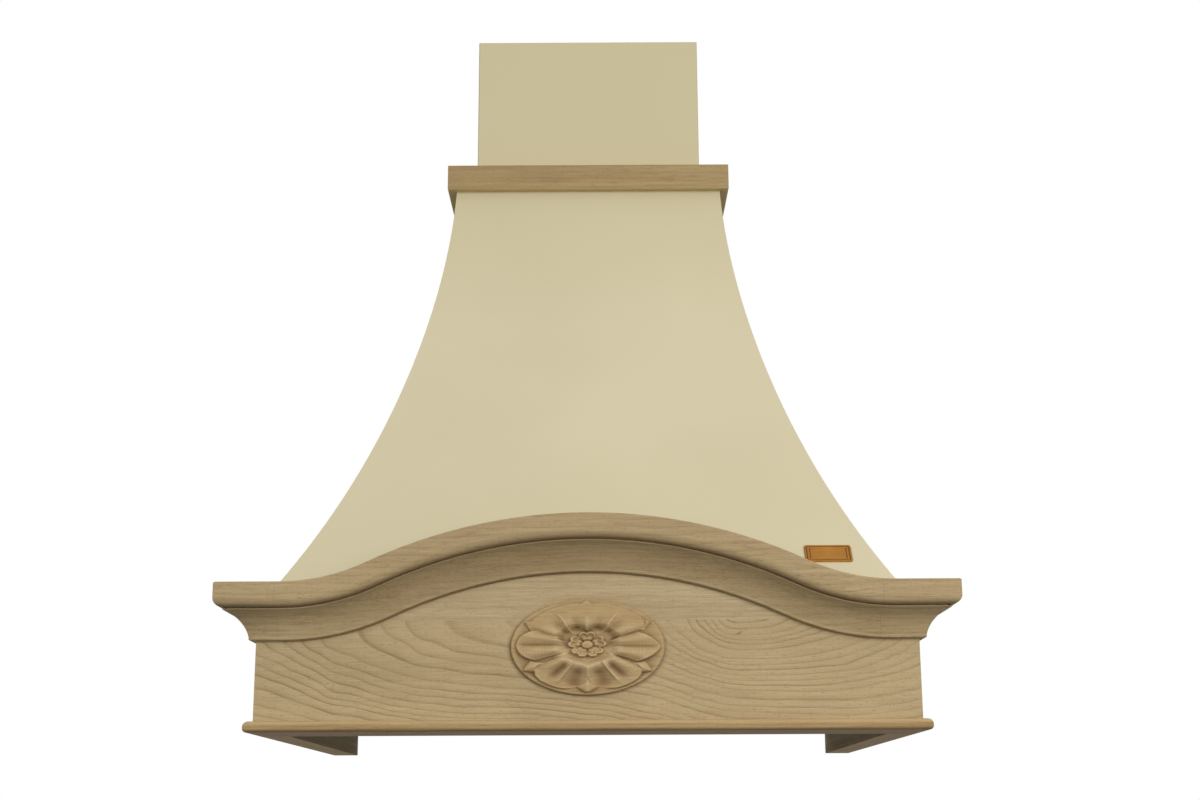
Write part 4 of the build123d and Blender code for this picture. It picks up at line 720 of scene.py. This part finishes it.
profile = [(0.0, -0.58), (0.0, 0.30), (0.06, 0.44), (0.18, 0.54), (0.34, 0.57), (1.50, 0.57), (1.58, 0.50), (1.66, 0.20), (2.20, 0.20), (2.28, 0.50), (2.36, 0.57), (4.5, 0.57), (7.0, 0.57)]
pv, pf, loops = [], [], []
for inset, proud in profile:
    ring = rounded(39.9 - 2 * inset, 20.9 - 2 * inset, max(2.4 - 0.8 * inset, 0.45))
    loops.append(list(range(len(pv), len(pv) + len(ring))))
    pv += [on_plate(u, v, proud) for u, v in ring]
for lo_ring, hi_ring in zip(loops, loops[1:]):
    m_ = len(lo_ring)
    for i in range(m_):
        pf.append((lo_ring[i], lo_ring[(i + 1) % m_], hi_ring[(i + 1) % m_], hi_ring[i]))
pf.append(tuple(loops[-1]))
pf.append(tuple(reversed(loops[0])))
for side in (-1, 1):                       # the second upright line of the border, at each end: a filled bar let into the face
    base = len(pv)
    for w in (0.30, 0.575):
        for u, v in ((-0.38, -6.5), (0.38, -6.5), (0.38, 6.5), (-0.38, 6.5)):
            pv.append(on_plate(side * 15.4 + u, v, w))
    pf += [(base + 3, base + 2, base + 1, base), (base + 4, base + 5, base + 6, base + 7)]
    for i in range(4):
        k = (i + 1) % 4
        pf.append((base + i, base + k, base + 4 + k, base + 4 + i))
plate = mesh_piece("name_plate_blank", pv, pf, "brass", "hood", smooth=False)
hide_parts("name_plate")


# ---------------------------------------------------------------- the filters' expanded mesh
def strands(x0, x1, y0, y1, z, pitch, slope, width, thick):
    """Flat strips that cross a rectangle both ways, as the strands of expanded metal do."""
    vs, fs = [], []
    for way in (1.0, -1.0):
        k = slope * way
        reach = (x1 - x0) * abs(k)
        n = int((y1 - y0 + reach) / pitch) + 2
        for i in range(n + 1):
            c = y0 - (reach if way > 0 else 0.0) + i * pitch        # y at x0
            a, b = x0, x1
            # keep to the part inside the rectangle
            for lim, above in ((y0 + width, False), (y1 - width, True)):
                xs = x0 + (lim - c) / k
                rising = k > 0
                if above == rising:
                    b = min(b, xs)
                else:
                    a = max(a, xs)
            if b - a < 2.0:
                continue
            zz = z + (0.22 * thick if way > 0 else -0.22 * thick)
            nx, ny = -k / math.hypot(1, k) * width / 2, 1 / math.hypot(1, k) * width / 2
            base = len(vs)
            for x in (a, b):
                y = c + k * (x - x0)
                for du, dz in ((-1, -thick / 2), (1, -thick / 2), (1, thick / 2), (-1, thick / 2)):
                    vs.append(((min(max(x + nx * du, x0), x1)) / 1000, (y + ny * du) / 1000, (zz + dz) / 1000))
            fs += [(base, base + 1, base + 5, base + 4), (base + 1, base + 2, base + 6, base + 5), (base + 2, base + 3, base + 7, base + 6),
                   (base + 3, base, base + 4, base + 7), (base + 3, base + 2, base + 1, base), (base + 4, base + 5, base + 6, base + 7)]
    return vs, fs


for side, (x0, x1) in (("left", (-200.4, -23.6)), ("right", (23.6, 200.4))):
    mv, mf = [], []
    for z, pitch, slope, width in ((-205.9, 8.4, 0.55, 1.5), (-204.3, 4.2, 0.55, 0.9), (-202.4, 6.2, 0.7, 1.1), (-200.2, 8.4, 0.55, 1.5)):
        vs, fs = strands(x0, x1, -315.4, -60.6, z, pitch, slope, width, 0.7)
        mf += [tuple(i + len(mv) for i in f) for f in fs]
        mv += vs
    lattice = mesh_piece("filter_lattice_" + side, mv, mf, "mesh", "filter_" + side, smooth=False)
    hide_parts("filter_mesh_" + side)


# ---------------------------------------------------------------- floor, light and camera
def plane(name, size, z):
    me = bpy.data.meshes.new(name)
    me.from_pydata([(-size, -size, z), (size, -size, z), (size, size, z), (-size, size, z)], [], [(0, 1, 2, 3)])
    o = bpy.data.objects.new(name, me)
    scene.collection.objects.link(o)
    return o


floor = plane("floor", 14.0, -2.5)
fm = Tree("floor_pale")
fn = fm.noise(fm.P, 3.0, 4.0, 0.55)
floor.data.materials.append(fm.finish(fm.ramp(fn, [(0.3, lin(236, 236, 234)), (0.7, lin(242, 242, 240))]), fm.span(fn, 0.3, 0.7, 0.6, 0.75)))
floor.visible_diffuse = False   # the pale floor is seen, and throws no light up into the hood

LAMP_UP, LAMP_DOWN, LAMP_FRONT = 0.95, 0.27, 0.12
world = bpy.data.worlds.new("studio")
scene.world = world
world.use_nodes = True
wt = world.node_tree
wt.nodes.clear()
wo = wt.nodes.new("ShaderNodeOutputWorld")
seen = wt.nodes.new("ShaderNodeBackground")
seen.inputs["Color"].default_value = (1.0, 1.0, 1.0, 1.0)
seen.inputs["Strength"].default_value = 1.0
sky = wt.nodes.new("ShaderNodeTexCoord")
split = wt.nodes.new("ShaderNodeSeparateXYZ")
wt.links.new(sky.outputs["Generated"], split.inputs[0])


def lobe(axis, amount, colour):
    """Light that comes from one side of the room, strongest straight from there."""
    m = wt.nodes.new("ShaderNodeMath")
    m.operation = "MULTIPLY"
    m.inputs[1].default_value = amount
    wt.links.new(split.outputs[axis], m.inputs[0])
    c = wt.nodes.new("ShaderNodeMath")
    c.operation = "MAXIMUM"
    c.inputs[1].default_value = 0.0
    wt.links.new(m.outputs[0], c.inputs[0])
    b = wt.nodes.new("ShaderNodeBackground")
    b.inputs["Color"].default_value = colour + (1.0,)
    wt.links.new(c.outputs[0], b.inputs["Strength"])
    return b.outputs[0]


fill = None
for axis, amount, colour in ((2, LAMP_UP, (1.0, 0.985, 0.96)), (2, -LAMP_DOWN, (0.95, 0.99, 1.03)), (1, -LAMP_FRONT, (1.0, 0.985, 0.96)), (1, 0.10, (1.0, 0.985, 0.96))):
    part = lobe(axis, amount, colour)
    if fill is None:
        fill = part
    else:
        add = wt.nodes.new("ShaderNodeAddShader")
        wt.links.new(fill, add.inputs[0])
        wt.links.new(part, add.inputs[1])
        fill = add.outputs[0]
path = wt.nodes.new("ShaderNodeLightPath")
wm = wt.nodes.new("ShaderNodeMixShader")
wt.links.new(path.outputs["Is Camera Ray"], wm.inputs[0])
wt.links.new(fill, wm.inputs[1])
wt.links.new(seen.outputs[0], wm.inputs[2])
wt.links.new(wm.outputs[0], wo.inputs["Surface"])


def area(name, at, aim, size, power, colour=(1, 1, 1)):
    d = bpy.data.lights.new(name, "AREA")
    d.shape = "RECTANGLE"
    d.size, d.size_y = size
    d.energy = power
    d.color = colour
    o = bpy.data.objects.new(name, d)
    scene.collection.objects.link(o)
    o.location = at
    o.rotation_euler = (Vector(aim) - Vector(at)).to_track_quat("-Z", "Y").to_euler()
    return o


area("key", (1.3, -2.4, 0.3), (0.0, -0.3, 0.0), (1.4, 1.4), 36.5, (1.0, 0.985, 0.96))
area("second", (-1.3, -2.4, 0.3), (0.0, -0.3, 0.0), (1.4, 1.4), 19.0, (1.0, 0.985, 0.96))
area("back", (-0.9, 2.2, 1.4), (0.0, 0.0, 0.1), (1.8, 1.4), 12.0, (1.0, 0.99, 0.97))

yaw, pitch, roll = 0.00017822, 0.24102650, 0.00465992
turn = Matrix.Rotation(yaw, 3, "Z") @ Matrix.Rotation(pitch, 3, "X") @ Matrix.Rotation(roll, 3, "Y")
right, ahead, up = turn.col[0], turn.col[1], turn.col[2]
cam_data = bpy.data.cameras.new("camera")
cam_data.sensor_fit = "HORIZONTAL"
cam_data.sensor_width = 36.0
cam_data.lens = 1724.6286 / 1200 * 36.0
cam_data.clip_start, cam_data.clip_end = 0.01, 60.0
cam = bpy.data.objects.new("camera", cam_data)
scene.collection.objects.link(cam)
place = Matrix((right, up, -ahead)).transposed().to_4x4()
place.translation = Vector((0.011136, -1.876736, -0.072151 - 0.240))
cam.matrix_world = place
scene.camera = cam

scene.view_settings.view_transform = "Standard"
scene.view_settings.look = "None"
scene.view_settings.exposure = 0.0
scene.view_settings.gamma = 1.0
